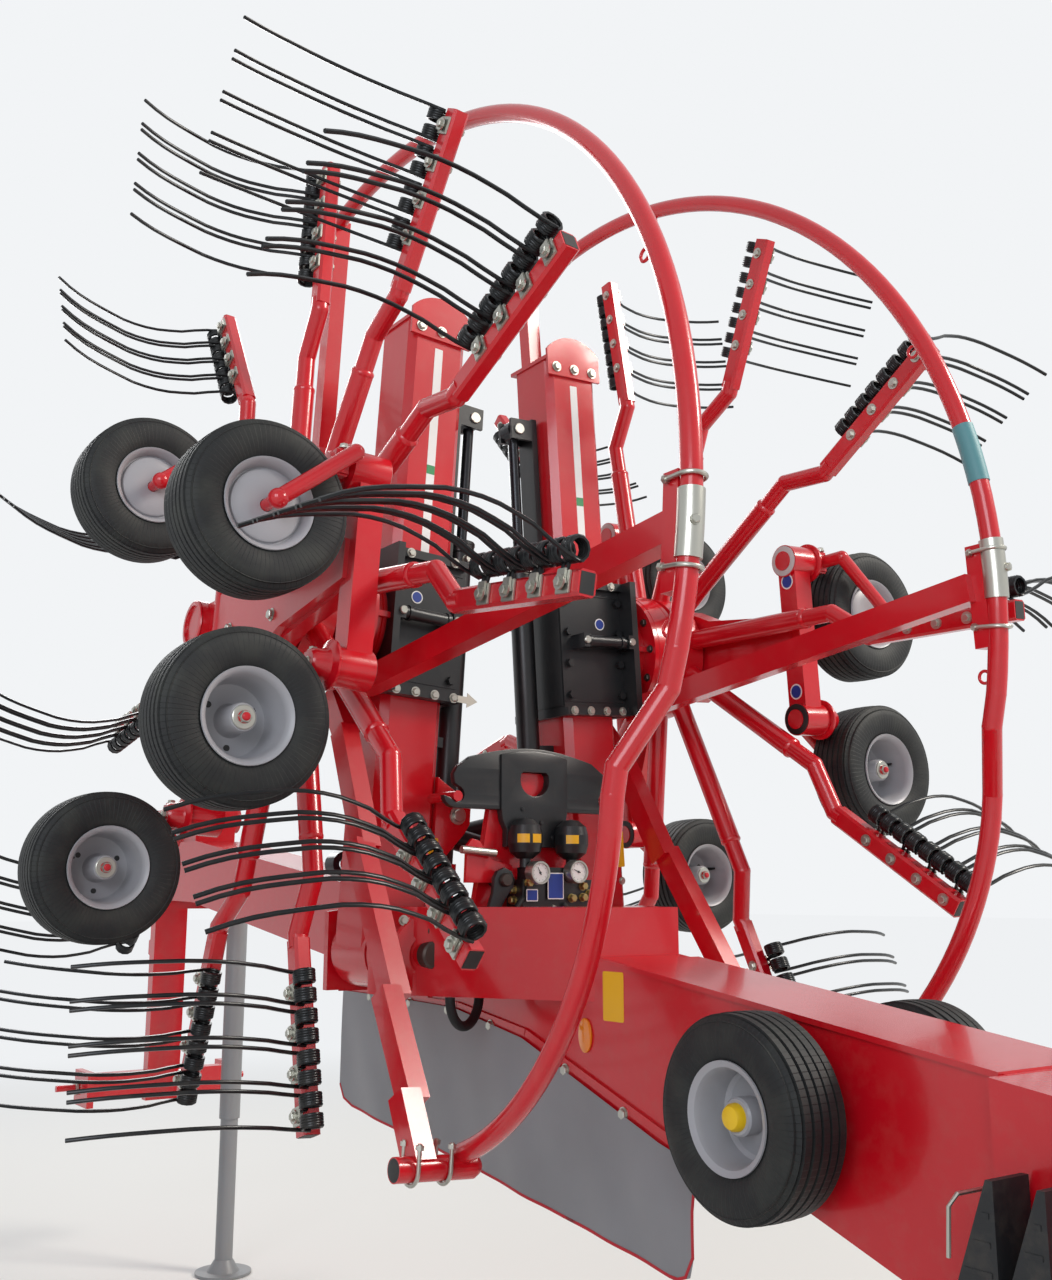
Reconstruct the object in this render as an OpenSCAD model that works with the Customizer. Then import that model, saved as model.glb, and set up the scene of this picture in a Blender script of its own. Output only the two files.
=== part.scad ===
// Twin rotor hay rake, trailed, rotors folded up for the road.
// Millimetres, +Z up, +Y towards the hitch, origin on the ground under the fold pivots.

/* [Frame] */
// half width of the main beam
beam_half = 140; // [100:200]
// height of the fold pivots over the ground
pivot_z = 1450; // [1200:1600]
// side offset of each fold pivot
pivot_x = 370; // [300:450]
// inward lean of the folded arms, degrees
lean = 3.5; // [0:8]

/* [Fold arms] */
// width of the square arm
arm_w = 200; // [150:240]
// length of the arm over its pivot
arm_len = 1900; // [1700:2000]
// height of the rotor axis over the pivot, folded
rotor_s = 930; // [850:1000]

/* [Rotors] */
// radius of the tine arm tips
tip_r = 1412; // [1300:1450]
// plane of the tine arms, outboard of the fold arm
arm_plane = 370; // [330:390]
// radius of the tine arm tube
arm_tube = 26; // [20:30]
// number of tine arms on a rotor
arm_count = 11; // [9:13]
// phase of the left rotor, degrees
phase_left = 34.6; // [0:40]
// phase of the right rotor, degrees
phase_right = 6.8; // [0:40]

/* [Tines] */
// radius of the tine wire
wire_r = 5; // [4:6]
// radius of the tine coil
coil_r = 29; // [25:32]
// pitch of the double tines
tine_pitch = 97; // [90:120]

/* [Guard hoops] */
// radius of the hoop
hoop_r = 1480; // [1450:1500]
// radius of the hoop tube
hoop_tube = 24; // [20:28]

/* [Rotor wheels] */
// outer radius of the rotor tyres
small_r = 205; // [190:220]
// width of the rotor tyres
small_w = 160; // [140:175]
// trail of the casters
trail = 160; // [100:180]
// plane of the wheel centres, outboard of the fold arm
wheel_plane = 730; // [700:760]

/* [Transport axle] */
// outer radius of the road tyres
road_r = 380; // [350:420]
// width of the road tyres
road_w = 260; // [220:300]
// place of the axle along the beam
axle_y = -2480; // [-2700:-2300]
// half track of the axle
track_half = 880; // [800:1000]

/* [Hidden] */
$fn = 48;
// pin radii and the places that more than one piece uses
pin_r = 38;
head_r = 48;
beam_end = 2500;
head_y = beam_end + 75;
jack_x = 205;
jack_y = beam_end - 110;
gearbox_y = beam_end - 220;
link_pin_r = 14;
link_z = 765;
pto_r = 17.5;
kingpin_r = 20;
jack_r = 38;
shaft_r = 45;
lift_x = 300;
lift_z = 1850;
lift_s = 250;
lift_pin = 17;
slide_u = -184;
slide_rod_r = 17;
lift_rod_r = 18;
lock_x = 262;
lock_z = 1884;
lock_s = (lock_z - pivot_z) / cos(lean);
lock_u = lock_x - pivot_x + lock_s * sin(lean);
// caster pivots on a rotor: along Y, along the arm, side of the leg
front_y = 270;
rear_y = -585;
CASTERS = [[front_y, 500, -1], [rear_y, 225, -1], [rear_y, -270, 1], [front_y, -585, 1]];
// outermost and innermost double tine, and the plane and offset of the coils
tine_end = 45;
tine_rows = 4;
tine_r0 = tip_r - tine_end - (tine_rows - 1) * tine_pitch;
coil_u = arm_plane + 22;
coil_t = 18;
// half sizes of the outer part of a tine arm, and its offset
arm_hu = 22;
arm_ht = 27;
arm_t = -48;
// hoop planes over the fold arm's axis
hoop_u = 180;
low_u = 250;
// clearance between a cheek and a pin that passes it
pin_gap = 0.3;
axle_top = road_r + 100;

// Shared shapes

// a round bar between two points
module bar(a, b, r, f = 24) {
    d = b - a;
    l = norm(d);
    translate(a) rotate([0, acos(d[2] / l), atan2(d[1], d[0])]) cylinder(r = r, h = l, $fn = f);
}

// a bent tube through points, with a ball at each bend
module bent(pts, r, f = 24) {
    for (i = [0 : len(pts) - 2]) bar(pts[i], pts[i + 1], r, f);
    for (i = [1 : len(pts) - 2]) translate(pts[i]) sphere(r = r * 1.015, $fn = f);
}

// a square bar lying in a plane across X: ends as [y, z], width in the plane, thickness along X
module flat_bar(a, b, w, t, x) {
    d = b - a;
    translate([x, a[0], a[1]]) rotate([-atan2(d[0], d[1]), 0, 0])
        translate([-t / 2, -w / 2, 0]) cube([t, w, norm(d)]);
}

// a profile given as [y, z], extruded along X about x = 0
module side_profile(pts, w) {
    rotate([90, 0, 90]) translate([0, 0, -w / 2]) linear_extrude(w) polygon(pts);
}

// a profile given as [x, z], extruded along Y from y0 to y1
module front_profile(pts, y0, y1) {
    translate([0, y1, 0]) rotate([90, 0, 0]) linear_extrude(y1 - y0) polygon(pts);
}

// a plate across X from x, of thickness t, with a [y, z] outline
module x_plate(x, t, pts) {
    translate([x + t / 2, 0, 0]) side_profile(pts, t);
}

// the local frame of the right fold arm: Z up the arm, X outboard
module right_side() {
    translate([pivot_x, 0, pivot_z]) rotate([0, -lean, 0]) children();
}

module left_side() {
    mirror([1, 0, 0]) right_side() children();
}

// a tyre with ribs round X axis, centred
module ribbed_tyre(r, w, rim, n) {
    g = w / (n * 2 + 1);
    rotate([0, 90, 0]) rotate_extrude($fn = 64) polygon(concat(
        [[rim, -w * 0.40], [rim + (r - rim) * 0.35, -w * 0.5], [r - (r - rim) * 0.30, -w * 0.5],
         [r - 6, -w * 0.40]],
        [for (i = [0 : n - 1], k = [0 : 3])
            let (c = (i - (n - 1) / 2) * w * 0.74 / n, h = w * 0.74 / n)
            [k == 0 || k == 3 ? r - 7 : r, c + (k < 2 ? -h * 0.32 : h * 0.32)]],
        [[r - 6, w * 0.40], [r - (r - rim) * 0.30, w * 0.5], [rim + (r - rim) * 0.35, w * 0.5],
         [rim, w * 0.40]]));
}

// a dished disc wheel round X axis; the hub faces +X
module disc_rim(rim, w, bore) {
    rotate([0, 90, 0]) rotate_extrude($fn = 64) polygon([
        [bore, -w * 0.10], [bore + 34, -w * 0.10], [bore + 34, -w * 0.04], [rim - 22, -w * 0.04],
        [rim - 16, -w * 0.44], [rim + 8, -w * 0.47], [rim + 8, -w * 0.41], [rim + 0.5, -w * 0.40],
        [rim + 0.5, w * 0.40], [rim + 8, w * 0.41], [rim + 8, w * 0.47], [rim - 16, w * 0.44],
        [rim - 22, w * 0.06], [bore + 34, w * 0.06], [bore + 30, w * 0.30], [bore, w * 0.30]]);
}

// Frame

// the box beam alone; other frame pieces are cut back from it
module beam_core() {
    side_profile([[-1870, 1294], [-690, 1456], [0, 1550], [300, 1592], [300, 1330], [0, 1300],
        [-400, 1251], [-950, 1064], [-1358, 990], [-1614, 904], [-1870, 850]], 2 * beam_half);
    side_profile([[290, 1590], [2110, 1839], [beam_end, 1839], [beam_end, 1590], [2110, 1580],
        [290, 1330]], 240);
    side_profile([[-1866, 1294], [-1866, 850], [-2180, 640], [-2300, axle_top], [-2660, axle_top],
        [-2720, 700], [-2720, 1120], [-2640, 1190]], 380);
}

module main_beam() color("red") {
    beam_core();
    // top flanges that lap over the side plates
    side_profile([[-1860, 1299], [-760, 1450], [-760, 1438], [-1860, 1287]], 2 * beam_half + 24);
    // end plate of the front beam and the lugs of the headstock
    side_profile([[beam_end - 10, 1870], [beam_end + 14, 1870], [beam_end + 14, 1550],
        [beam_end - 10, 1550]], 300);
    difference() {
        for (z = [1640, 1750]) translate([0, 0, z]) {
            translate([-75, beam_end + 10, 0]) cube([150, 75, 32]);
            translate([0, head_y, 0]) cylinder(r = 75, h = 32);
        }
        translate([0, head_y, 1600]) cylinder(r = head_r + 0.05, h = 220);
    }
}

module pivot_head() color("red") difference() {
    union() {
        // flared block in front of the arms, with bosses round the pins
        translate([0, 0, 1345]) linear_extrude(230) polygon([[-138, -700], [-400, -262],
            [-470, -200], [-470, -122], [470, -122], [470, -200], [400, -262], [138, -700]]);
        for (s = [-1, 1]) translate([s * pivot_x, -122, pivot_z]) rotate([90, 0, 0])
            cylinder(r = 105, h = 128);
        // far cheek with the ears of the lift cylinders
        front_profile([[-470, 1340], [-470, 1560], [-322, 1580], [-330, 1900], [-262, 1900],
            [-200, 1580], [200, 1580], [262, 1900], [330, 1900], [322, 1580], [470, 1560],
            [470, 1340]], 122, 146);
        // centre box between the arm feet
        translate([-220, -130, 1335]) cube([440, 260, 215]);
        // pivot pins
        for (s = [-1, 1]) translate([s * pivot_x, 176, pivot_z]) rotate([90, 0, 0])
            cylinder(r = pin_r, h = 450);
        // tower plate behind the lock plate
        front_profile([[-190, 1570], [-120, 1960], [120, 1960], [190, 1570]], -216, -192);
        for (s = [-1, 1]) translate([s * 110 - 10, -200, 1560]) cube([20, 70, 150]);
    }
    beam_core();
}

// pins of the lift cylinders and the gussets behind the far cheek
module lift_pins() color("red") {
    for (s = [-1, 1]) translate([-s * lift_x, lift_y(s) + 30, lift_z]) rotate([90, 0, 0])
        cylinder(r = lift_pin, h = lift_y(s) + 30 - 146);
    difference() {
        translate([0, 0, 1335]) linear_extrude(65) polygon([[-420, 146], [420, 146], [118, 420],
            [-118, 420]]);
        beam_core();
        for (s = [-1, 1]) translate([s * pivot_x, 200, pivot_z]) rotate([90, 0, 0])
            cylinder(r = pin_r + pin_gap, h = 100);
    }
}

module lock_plate() color("black") {
    difference() {
        front_profile(concat([[-292, 1846], [-292, 1950]],
            [for (a = [0 : 6]) [-250 + a * 500 / 6, 1985 + 42 * sin(a * 30)]],
            [[292, 1950], [292, 1846], [120, 1846], [100, 1870], [-100, 1870], [-120, 1846]]),
            -238, -216);
        // the hooks' throats, open outwards
        for (s = [-1, 1]) {
            translate([s * lock_x, -200, lock_z]) rotate([90, 0, 0]) cylinder(r = 24, h = 60);
            translate([s * lock_x, -260, lock_z]) rotate([0, -s * 14, 0])
                translate([s < 0 ? -90 : 0, 0, -21]) cube([90, 60, 42]);
        }
        // the D-shaped hole
        intersection() {
            translate([0, -200, 1937]) rotate([90, 0, 0]) cylinder(r = 50, h = 60);
            translate([-60, -270, 1877]) cube([120, 80, 80]);
        }
    }
}

module hydraulic_block() color("gray") {
    translate([-80, -296, 1575]) cube([250, 80, 75]);
    translate([-60, -290, 1650]) cube([210, 50, 34]);
    for (g = [[-40, 1668], [95, 1672]])
        translate([g[0], -288, g[1]]) rotate([90, 0, 0]) cylinder(r = 28, h = 34, $fn = 32);
    translate([10, -302, 1600]) cube([50, 8, 62]);
    translate([-70, -302, 1594]) cube([40, 8, 44]);
}

module accumulators() color("black") {
    for (x = [-52, 112]) translate([x, -268, 0]) {
        translate([0, 0, 1684]) cylinder(r = 16, h = 30, $fn = 24);
        rotate_extrude($fn = 40) polygon([[0, 1708], [22, 1708], [44, 1726],
            [50, 1750], [50, 1778], [44, 1802], [22, 1820], [0, 1824]]);
    }
}

module curtain_rail() color("red") difference() {
    union() {
        for (s = [[[640, 1290], [-60, 1280]], [[-60, 1280], [-400, 1232]],
            [[-400, 1232], [-950, 1052]], [[-950, 1052], [-1070, 1024]]])
            flat_bar(s[0], s[1], 52, 8, -144);
        for (y = [100, 500]) translate([-148, y, 1290]) cube([60, 60, 110]);
    }
    beam_core();
    translate([-500, -800, 1335]) cube([1000, 1240, 100]);
}

module curtain() color("gray")
    translate([-152, 0, 0]) side_profile([[630, 1300], [300, 1298], [-60, 1290], [-400, 1235],
        [-950, 1050], [-1065, 1022], [-1080, 850], [-1060, 790], [-1010, 772], [-400, 850],
        [100, 905], [540, 945], [600, 965], [630, 1010]], 8);

module transport_axle() color("red") {
    translate([-640, axle_y - 55, road_r - 55]) cube([1280, 110, 110]);
    for (s = [-1, 1]) {
        translate([s * 630, axle_y, road_r]) rotate([0, s * 90, 0]) cylinder(r = 78, h = 80);
        translate([s * 700, axle_y, road_r]) rotate([0, s * 90, 0]) cylinder(r = 44, h = 120);
        translate([s * 780, axle_y, road_r]) rotate([0, s * 90, 0]) cylinder(r = 29.95, h = 190);
        translate([s * 175 - 12, axle_y - 150, road_r - 60]) cube([24, 300, 160]);
    }
}

module chock_holder() color("black") {
    for (y = [-1905, -2000]) translate([-255, y, 960])
        side_profile([[-40, 0], [40, 0], [40, 20], [-26, 190], [-40, 190]], 98);
    translate([-206, -2062, 940]) cube([16, 190, 70]);
    translate([-310, -2062, 940]) cube([118, 190, 22]);
}

module beam_stub_axles() color("red") for (s = [-1, 1]) {
    translate([s * 148 - 8, -1450, 1040]) cube([16, 190, 240]);
    translate([s * 150, -1356, 1172]) rotate([0, s * 90, 0]) cylinder(r = 34, h = 45);
    translate([s * 180, -1356, 1172]) rotate([0, s * 90, 0]) cylinder(r = 14.95, h = 132);
}

module input_gearbox() color("red") difference() {
    translate([0, gearbox_y, 1945]) {
        rotate([90, 0, 0]) translate([0, 0, -150]) cylinder(r = 105, h = 240);
        translate([-90, -90, -140]) cube([180, 240, 110]);
        translate([0, 145, 0]) rotate([-90, 0, 0]) cylinder(r = 62, h = 40);
        translate([0, 180, 0]) rotate([-90, 0, 0]) cylinder(r = pto_r, h = 90);
        for (s = [-1, 1]) translate([0, 20, 0]) rotate([0, s * 90, 0]) cylinder(r = 60, h = 140);
    }
    beam_core();
}

module hose_loop() color("black")
    translate([-290, -330, 1344.7]) rotate([90, 0, 28]) rotate_extrude(angle = 180, start = 180, $fn = 40)
        translate([78, 0]) circle(r = 13, $fn = 20);

module headstock() color("red") {
    // swivel post, drop frame and lower link bar
    translate([0, head_y, 1580]) cylinder(r = head_r, h = 260);
    for (z = [1572, 1788]) translate([0, head_y, z]) {
        cylinder(r = head_r + 8, h = 50);
        translate([-50, 0, 0]) cube([100, 112, 50]);
    }
    translate([0, head_y, 0]) {
        side_profile([[105, 1870], [165, 1870], [165, 700], [115, 700], [105, 900]], 150);
        translate([-330, 105, 720]) cube([660, 70, 110]);
        for (s = [-1, 1]) {
            translate([s * 330 - 15, 95, 690]) cube([30, 190, 150]);
            translate([s * 330, 240, link_z]) rotate([0, s * 90, 0]) cylinder(r = link_pin_r, h = 110);
            translate([s * 42, 0, 0])
                side_profile([[155, 1440], [255, 1400], [255, 1340], [155, 1300]], 16);
        }
    }
}

module jack_tube() color("gray") translate([jack_x, jack_y, 0]) {
    difference() {
        translate([0, 0, 640]) cylinder(r = jack_r + 7, h = 1050);
        translate([0, 0, 635]) cylinder(r = jack_r + 0.05, h = 1000);
    }
    translate([120 - jack_x, -40, 1640]) cube([60, 80, 50]);
    translate([0, 0, 1680]) cylinder(r = 20, h = 70);
    bar([0, 0, 1738], [125, 0, 1738], 9, 16);
    bar([117, 0, 1738], [117, 0, 1800], 11, 16);
}

module jack_foot() color("gray") translate([jack_x, jack_y, 0]) {
    translate([0, 0, 8]) cylinder(r = jack_r, h = 1150);
    cylinder(r = 120, h = 10);
    translate([0, 0, 8]) cylinder(r1 = 70, r2 = jack_r + 1, h = 50);
}

module wheel(r, w, rim, bore, n) {
    color("black") ribbed_tyre(r, w, rim, n);
    color("silver") disc_rim(rim, w, bore);
}

module axle_wheel(s) translate([s * track_half, axle_y, road_r]) mirror([s < 0 ? 1 : 0, 0, 0])
    wheel(road_r, road_w, 195, 30, 5);

module beam_wheel(s) translate([s * 262, -1356, 1172]) mirror([s < 0 ? 1 : 0, 0, 0])
    wheel(small_r - 3, 150, 102, 15, 5);

// Fold arms

module fold_arm(s) color("red") {
    h = arm_w / 2;
    difference() {
        union() {
            linear_extrude(arm_len) polygon([[-h, -h + 22], [-h + 22, -h], [h - 22, -h], [h, -h + 22],
                [h, h - 22], [h - 22, h], [-h + 22, h], [-h, h - 22]]);
            translate([0, h, 0]) rotate([90, 0, 0]) cylinder(r = h, h = arm_w);
        }
        translate([0, 120, 0]) rotate([90, 0, 0]) cylinder(r = pin_r + 0.05, h = 240);
    }
    // end cap with an arched top
    translate([0, -h - 10, arm_len]) rotate([-90, 0, 0]) {
        translate([-h - 6, -6, 0]) cube([arm_w + 12, 66, 10]);
        intersection() {
            translate([0, 60, 0]) cylinder(r = 138, h = 10);
            translate([-h - 6, -80, 0]) cube([arm_w + 12, 100, 10]);
        }
    }
    translate([-h - 6, -h - 4, arm_len - 4]) cube([arm_w + 12, arm_w + 8, 12]);
    // lock pin on the near face
    translate([lock_u, -h + 4, lock_s]) rotate([90, 0, 0]) cylinder(r = 15, h = 146, $fn = 24);
    // foot bracket of the slide cylinder
    translate([slide_u - 36, -30, 226]) cube([-slide_u - 54, 60, 34]);
}

// lug and pin of the lift cylinder on the arm's far face; the pin stops short of the rod's eye
module lift_lug(s) color("red") {
    h = arm_w / 2;
    translate([-40, h, lift_s - 40]) cube([80, 14, 80]);
    translate([0, lift_y(s) - 34, lift_s]) rotate([90, 0, 0]) cylinder(r = lift_pin, h = lift_y(s) - 44 - h);
}

module slide_barrel() color("black") {
    difference() {
        union() {
            translate([slide_u, 0, 260]) cylinder(r = 36, h = 966);
            translate([slide_u, 0, 1216]) cylinder(r = 42, h = 36);
        }
        translate([slide_u, 0, 290]) cylinder(r = 28, h = 920);
        translate([slide_u, 0, 1200]) cylinder(r = slide_rod_r + 0.05, h = 60);
    }
    translate([slide_u + 20, -20, 600]) cube([-arm_w / 2 - slide_u - 20, 40, 30]);
}

// the rod and eye that the carriage carries
module slide_rod() color("silver") {
    translate([slide_u, 0, 300]) cylinder(r = slide_rod_r, h = 1336);
    difference() {
        translate([slide_u, 24, 1660]) rotate([90, 0, 0]) cylinder(r = 34, h = 48);
        translate([slide_u, 30, 1660]) rotate([90, 0, 0]) cylinder(r = 14, h = 60);
    }
}

module carriage() color("black") {
    difference() {
        translate([-126, -126, rotor_s - 215]) cube([252, 252, 430]);
        translate([-106, -106, rotor_s - 230]) cube([212, 212, 460]);
    }
    // bolted flanges on both faces
    for (z = [-215, 190]) difference() {
        translate([-128, -146, rotor_s + z]) cube([264, 292, 25]);
        translate([-120, -120, rotor_s + z - 5]) cube([240, 240, 40]);
    }
    for (z = [-150, -50, 50, 150], x = [-100, 100]) translate([x, -124, rotor_s + z])
        rotate([90, 0, 0]) cylinder(r = 13, h = 16, $fn = 6);
    // strap up to the rod eye
    translate([-134, -38, rotor_s + 200]) cube([20, 76, 570]);
    for (y = [-38, 26]) translate([slide_u - 30, y, 1626]) cube([-slide_u - 86, 12, 68]);
    translate([slide_u, 38, 1660]) rotate([90, 0, 0]) cylinder(r = 14, h = 76, $fn = 32);
    // small lock cylinder across the near face, on two lugs
    for (x = [-84, 96]) translate([x, -190, rotor_s - 6]) cube([22, 64, 44]);
    translate([-70, -168, rotor_s + 16]) rotate([0, 90, 0]) cylinder(r = 19, h = 174);
    // foot plate of the gear housing
    translate([114, -190, rotor_s - 215]) cube([22, 380, 430]);
}

// lift cylinders, in the frame: barrel from the far ear, rod to the arm's lug
function lift_y(s) = s > 0 ? 195 : 285;
function lift_base(s) = [-s * lift_x, lift_y(s), lift_z];
function lift_eye(s) = [s * (pivot_x - lift_s * sin(lean)), lift_y(s), pivot_z + lift_s * cos(lean)];

module lift_barrel(s) color("black") {
    a = lift_base(s);
    d = lift_eye(s) - a;
    l = norm(d);
    difference() {
        union() {
            bar(a + d * 30 / l, a + d * 480 / l, 35, 48);
            bar(a + d * 460 / l, a + d * 496 / l, 41, 48);
            translate([a[0], a[1] + 28, a[2]]) rotate([90, 0, 0]) cylinder(r = 42, h = 56);
        }
        translate([a[0], a[1] + 40, a[2]]) rotate([90, 0, 0]) cylinder(r = lift_pin + 0.05, h = 80);
        bar(a + d * 80 / l, a + d * 600 / l, lift_rod_r + 0.05, 48);
    }
}

module lift_rod(s) color("silver") {
    a = lift_base(s);
    b = lift_eye(s);
    d = b - a;
    l = norm(d);
    bar(a + d * 95 / l, b - d * 24 / l, lift_rod_r, 48);
    difference() {
        translate([b[0], b[1] + 28, b[2]]) rotate([90, 0, 0]) cylinder(r = 38, h = 56);
        translate([b[0], b[1] + 40, b[2]]) rotate([90, 0, 0]) cylinder(r = lift_pin, h = 80);
    }
}

// Rotor housing and chassis, in the arm's frame

module gear_housing() color("red") translate([0, 0, rotor_s]) {
    rotate([0, 90, 0]) {
        translate([0, 0, 136]) cylinder(r = 150, h = 60);
        translate([0, 0, 192]) cylinder(r = 205, h = 103);
        translate([0, 0, 290]) cylinder(r = 120, h = 18);
        translate([0, 0, 300]) cylinder(r = shaft_r, h = 112);
    }
    // drive input and ribs
    translate([184, 0, 0]) rotate([-90, 0, 0]) cylinder(r = 44, h = 270);
    for (a = [0 : 60 : 300]) rotate([a, 0, 0]) translate([136, 120, -8]) cube([60, 50, 16]);
}

module rotor_chassis() color("red") translate([0, 0, rotor_s]) {
    // flared centre box, its long rear arm and the short front arm
    x_plate(412, 86, [[150, 110], [-110, 150], [-230, 96], [rear_y, 50], [rear_y, -50], [-230, -110],
        [-110, -160], [150, -110]]);
    x_plate(418, 64, [[140, 104], [front_y, 62], [front_y + 130, 58], [front_y + 130, -58],
        [front_y, -62], [140, -104]]);
    translate([404, front_y + 118, 0]) rotate([0, 90, 0]) cylinder(r = 74, h = 100);
    // front cross tube and rear post, with the caster hubs
    difference() {
        union() {
            translate([450, front_y, -585]) cylinder(r = 38, h = 1085);
            translate([418, rear_y - 34, -270]) cube([68, 68, 495]);
            for (c = CASTERS) translate([410, c[0], c[1]]) rotate([0, 90, 0]) cylinder(r = 50, h = 96);
        }
        for (c = CASTERS) translate([400, c[0], c[1]]) rotate([0, 90, 0])
            cylinder(r = kingpin_r + 0.05, h = 116);
    }
    // flared struts
    flat_bar([110, 90], [front_y, 400], 64, 40, 450);
    flat_bar([110, -100], [front_y - 6, -470], 76, 40, 450);
    flat_bar([-150, -110], [-520, -40], 60, 40, 450);
}

// a place on the upper arc, and a [y, z] place that keeps its share of the hoop's radius
function hoop_pt(a, x) = [x, hoop_r * cos(a), hoop_r * sin(a)];
function hoop_at(y, z) = [y, z] * hoop_r / 1480;

// centre and radius of the lower arc, which leans inboard towards its foot
low_c = hoop_at(-400, -450);
low_r = hoop_r * 960 / 1480;
low_start = [low_u, low_c[0] + low_r * cos(189), low_c[1] + low_r * sin(189)];
low_tilt = 6.8;

module hoop_eye(a) translate([hoop_u, (hoop_r - hoop_tube - 11) * cos(a), (hoop_r - hoop_tube - 11) * sin(a)])
    rotate([a - 90, 0, 0]) rotate([0, 90, 0]) rotate_extrude($fn = 32) translate([15, 0]) circle(r = 4, $fn = 16);

// hoop: an upper arc, a step outboard, a lower arc; the supports stand on the carriage plate
module guard_hoop() color("red") translate([0, 0, rotor_s]) {
    translate([hoop_u, 0, 0]) rotate([90, 0, 90]) rotate_extrude(angle = 115, start = 77, $fn = 192)
        translate([hoop_r, 0]) circle(r = hoop_tube, $fn = 24);
    translate(low_start) rotate(a = low_tilt, v = [0, 0.755, 0.656]) translate(-low_start)
        translate([low_u, low_c[0], low_c[1]]) rotate([90, 0, 90])
            rotate_extrude(angle = 63, start = 189, $fn = 192)
                translate([low_r, 0]) circle(r = hoop_tube, $fn = 24);
    b1 = hoop_at(-1426, -385);
    b2 = hoop_at(-1358, -545);
    bent([hoop_pt(192, hoop_u), [hoop_u, b1[0], b1[1]], [low_u, b2[0], b2[1]], low_start], hoop_tube, 24);
    for (e = [hoop_pt(192, hoop_u), low_start]) translate(e) sphere(r = hoop_tube * 1.015, $fn = 24);
    for (a = [104, 155, 190.5]) hoop_eye(a);
    // upper support
    p1 = hoop_at(330, 620);
    flat_bar([160, 150], p1, 70, 52, 162);
    flat_bar(p1 - [0, 30], hoop_at(352, 1460), 56, 52, 162);
    // near support and its upright, clamped to the tube
    flat_bar([-100, -195], hoop_at(-1430, -45), 70, 52, 162);
    translate([hoop_u - 22, -hoop_r + hoop_tube - 7, -195]) cube([44, 45, 255]);
    // lower support with the cross tube at its foot
    flat_bar([100, -200], [-20, -340], 72, 52, 162);
    flat_bar([-10, -320], hoop_at(-205, -670), 70, 52, 172);
    flat_bar(hoop_at(-195, -652), hoop_at(-450, -1040), 68, 52, 190);
    flat_bar(hoop_at(-440, -1020), hoop_at(-610, -1262), 66, 52, 214);
    flat_bar(hoop_at(-600, -1240), hoop_at(-690, -1382), 66, 52, 236);
    f = hoop_at(-694, -1388);
    translate([100, f[0], f[1]]) rotate([0, 90, 0]) cylinder(r = 28, h = 205);
    translate([103, f[0], f[1]]) sphere(r = 26);
}

// Rotors, in the arm's frame

module one_arm() {
    x1 = arm_plane - 8;
    bent([[x1, 38, 150], [x1, 38, 800], [arm_plane, arm_t, 925], [arm_plane, arm_t, 960]], arm_tube, 24);
    // thicker root and its collar
    bar([x1, 38, 150], [x1, 38, 700], arm_tube + 5, 24);
    // squared outer part that carries the tines
    translate([0, 0, 940]) linear_extrude(tip_r - 940) polygon([
        for (q = [[1, 1, 0], [1, 1, 1], [-1, 1, 1], [-1, 1, 0], [-1, -1, 0], [-1, -1, 1], [1, -1, 1], [1, -1, 0]])
            [arm_plane + q[0] * (arm_hu - q[2] * 7), arm_t + q[1] * (arm_ht - (1 - q[2]) * 7)]]);
}

module rotor_arms(ph) color("red") translate([0, 0, rotor_s]) {
    difference() {
        rotate([0, 90, 0]) translate([0, 0, 314]) cylinder(r = 205, h = 86);
        rotate([0, 90, 0]) translate([0, 0, 300]) cylinder(r = shaft_r + 0.05, h = 120);
    }
    for (i = [0 : arm_count - 1]) rotate([-(ph + i * 360 / arm_count), 0, 0]) one_arm();
}

// one double tine beside an arm that runs up Z: two coils, their wires and the clamp plate
module double_tine(r) {
    x1 = coil_u;
    t1 = coil_t - coil_r + wire_r;
    for (s = [-1, 1]) {
        translate([x1, coil_t, r + (s < 0 ? -43 : 5)]) cylinder(r = coil_r, h = 38, $fn = 10);
        z = r + s * (43 - wire_r - 0.5);
        bar([x1 - 2, t1, z], [x1 + 208, t1 + 70, z], wire_r, 6);
        bar([x1 + 206, t1 + 70, z], [x1 + 555, t1 - 12, z], wire_r, 6);
    }
    translate([arm_plane + arm_hu + 0.3, arm_t - 22, r - 6]) cube([9, coil_t - arm_t + 10, 12]);
    translate([arm_plane + arm_hu + 0.3, arm_t - 22, r - 22]) cube([7, 44, 44]);
}

module rotor_tines(ph) color("black") translate([0, 0, rotor_s])
    for (i = [0 : arm_count - 1]) rotate([-(ph + i * 360 / arm_count), 0, 0])
        for (k = [0 : tine_rows - 1]) double_tine(tine_r0 + k * tine_pitch);

// Casters and their wheels, in the arm's frame

module caster(k) color("gray") {
    c = CASTERS[k];
    s = c[2];
    translate([0, c[0], rotor_s + c[1]]) {
        rotate([0, 90, 0]) {
            translate([0, 0, 403]) cylinder(r = kingpin_r, h = 142);
            translate([0, 0, 403]) cylinder(r = 30, h = 6.7);
            translate([0, 0, 506.3]) cylinder(r = 36, h = 14);
        }
        translate([545, 0, 0]) sphere(r = 22);
        bent([[545, 0, 0], [545, s * 116, 0], [wheel_plane, s * 116, -trail]], 20, 32);
        translate([wheel_plane, s * 116, -trail]) sphere(r = 24, $fn = 32);
        bar([wheel_plane, s * 116, -trail], [wheel_plane, -s * 52, -trail], 14.95, 32);
    }
}

module caster_wheel(k) {
    c = CASTERS[k];
    translate([wheel_plane, c[0], rotor_s + c[1] - trail]) rotate([0, 0, c[2] > 0 ? -90 : 90])
        wheel(small_r, small_w, 102, 15, 5);
}

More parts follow.
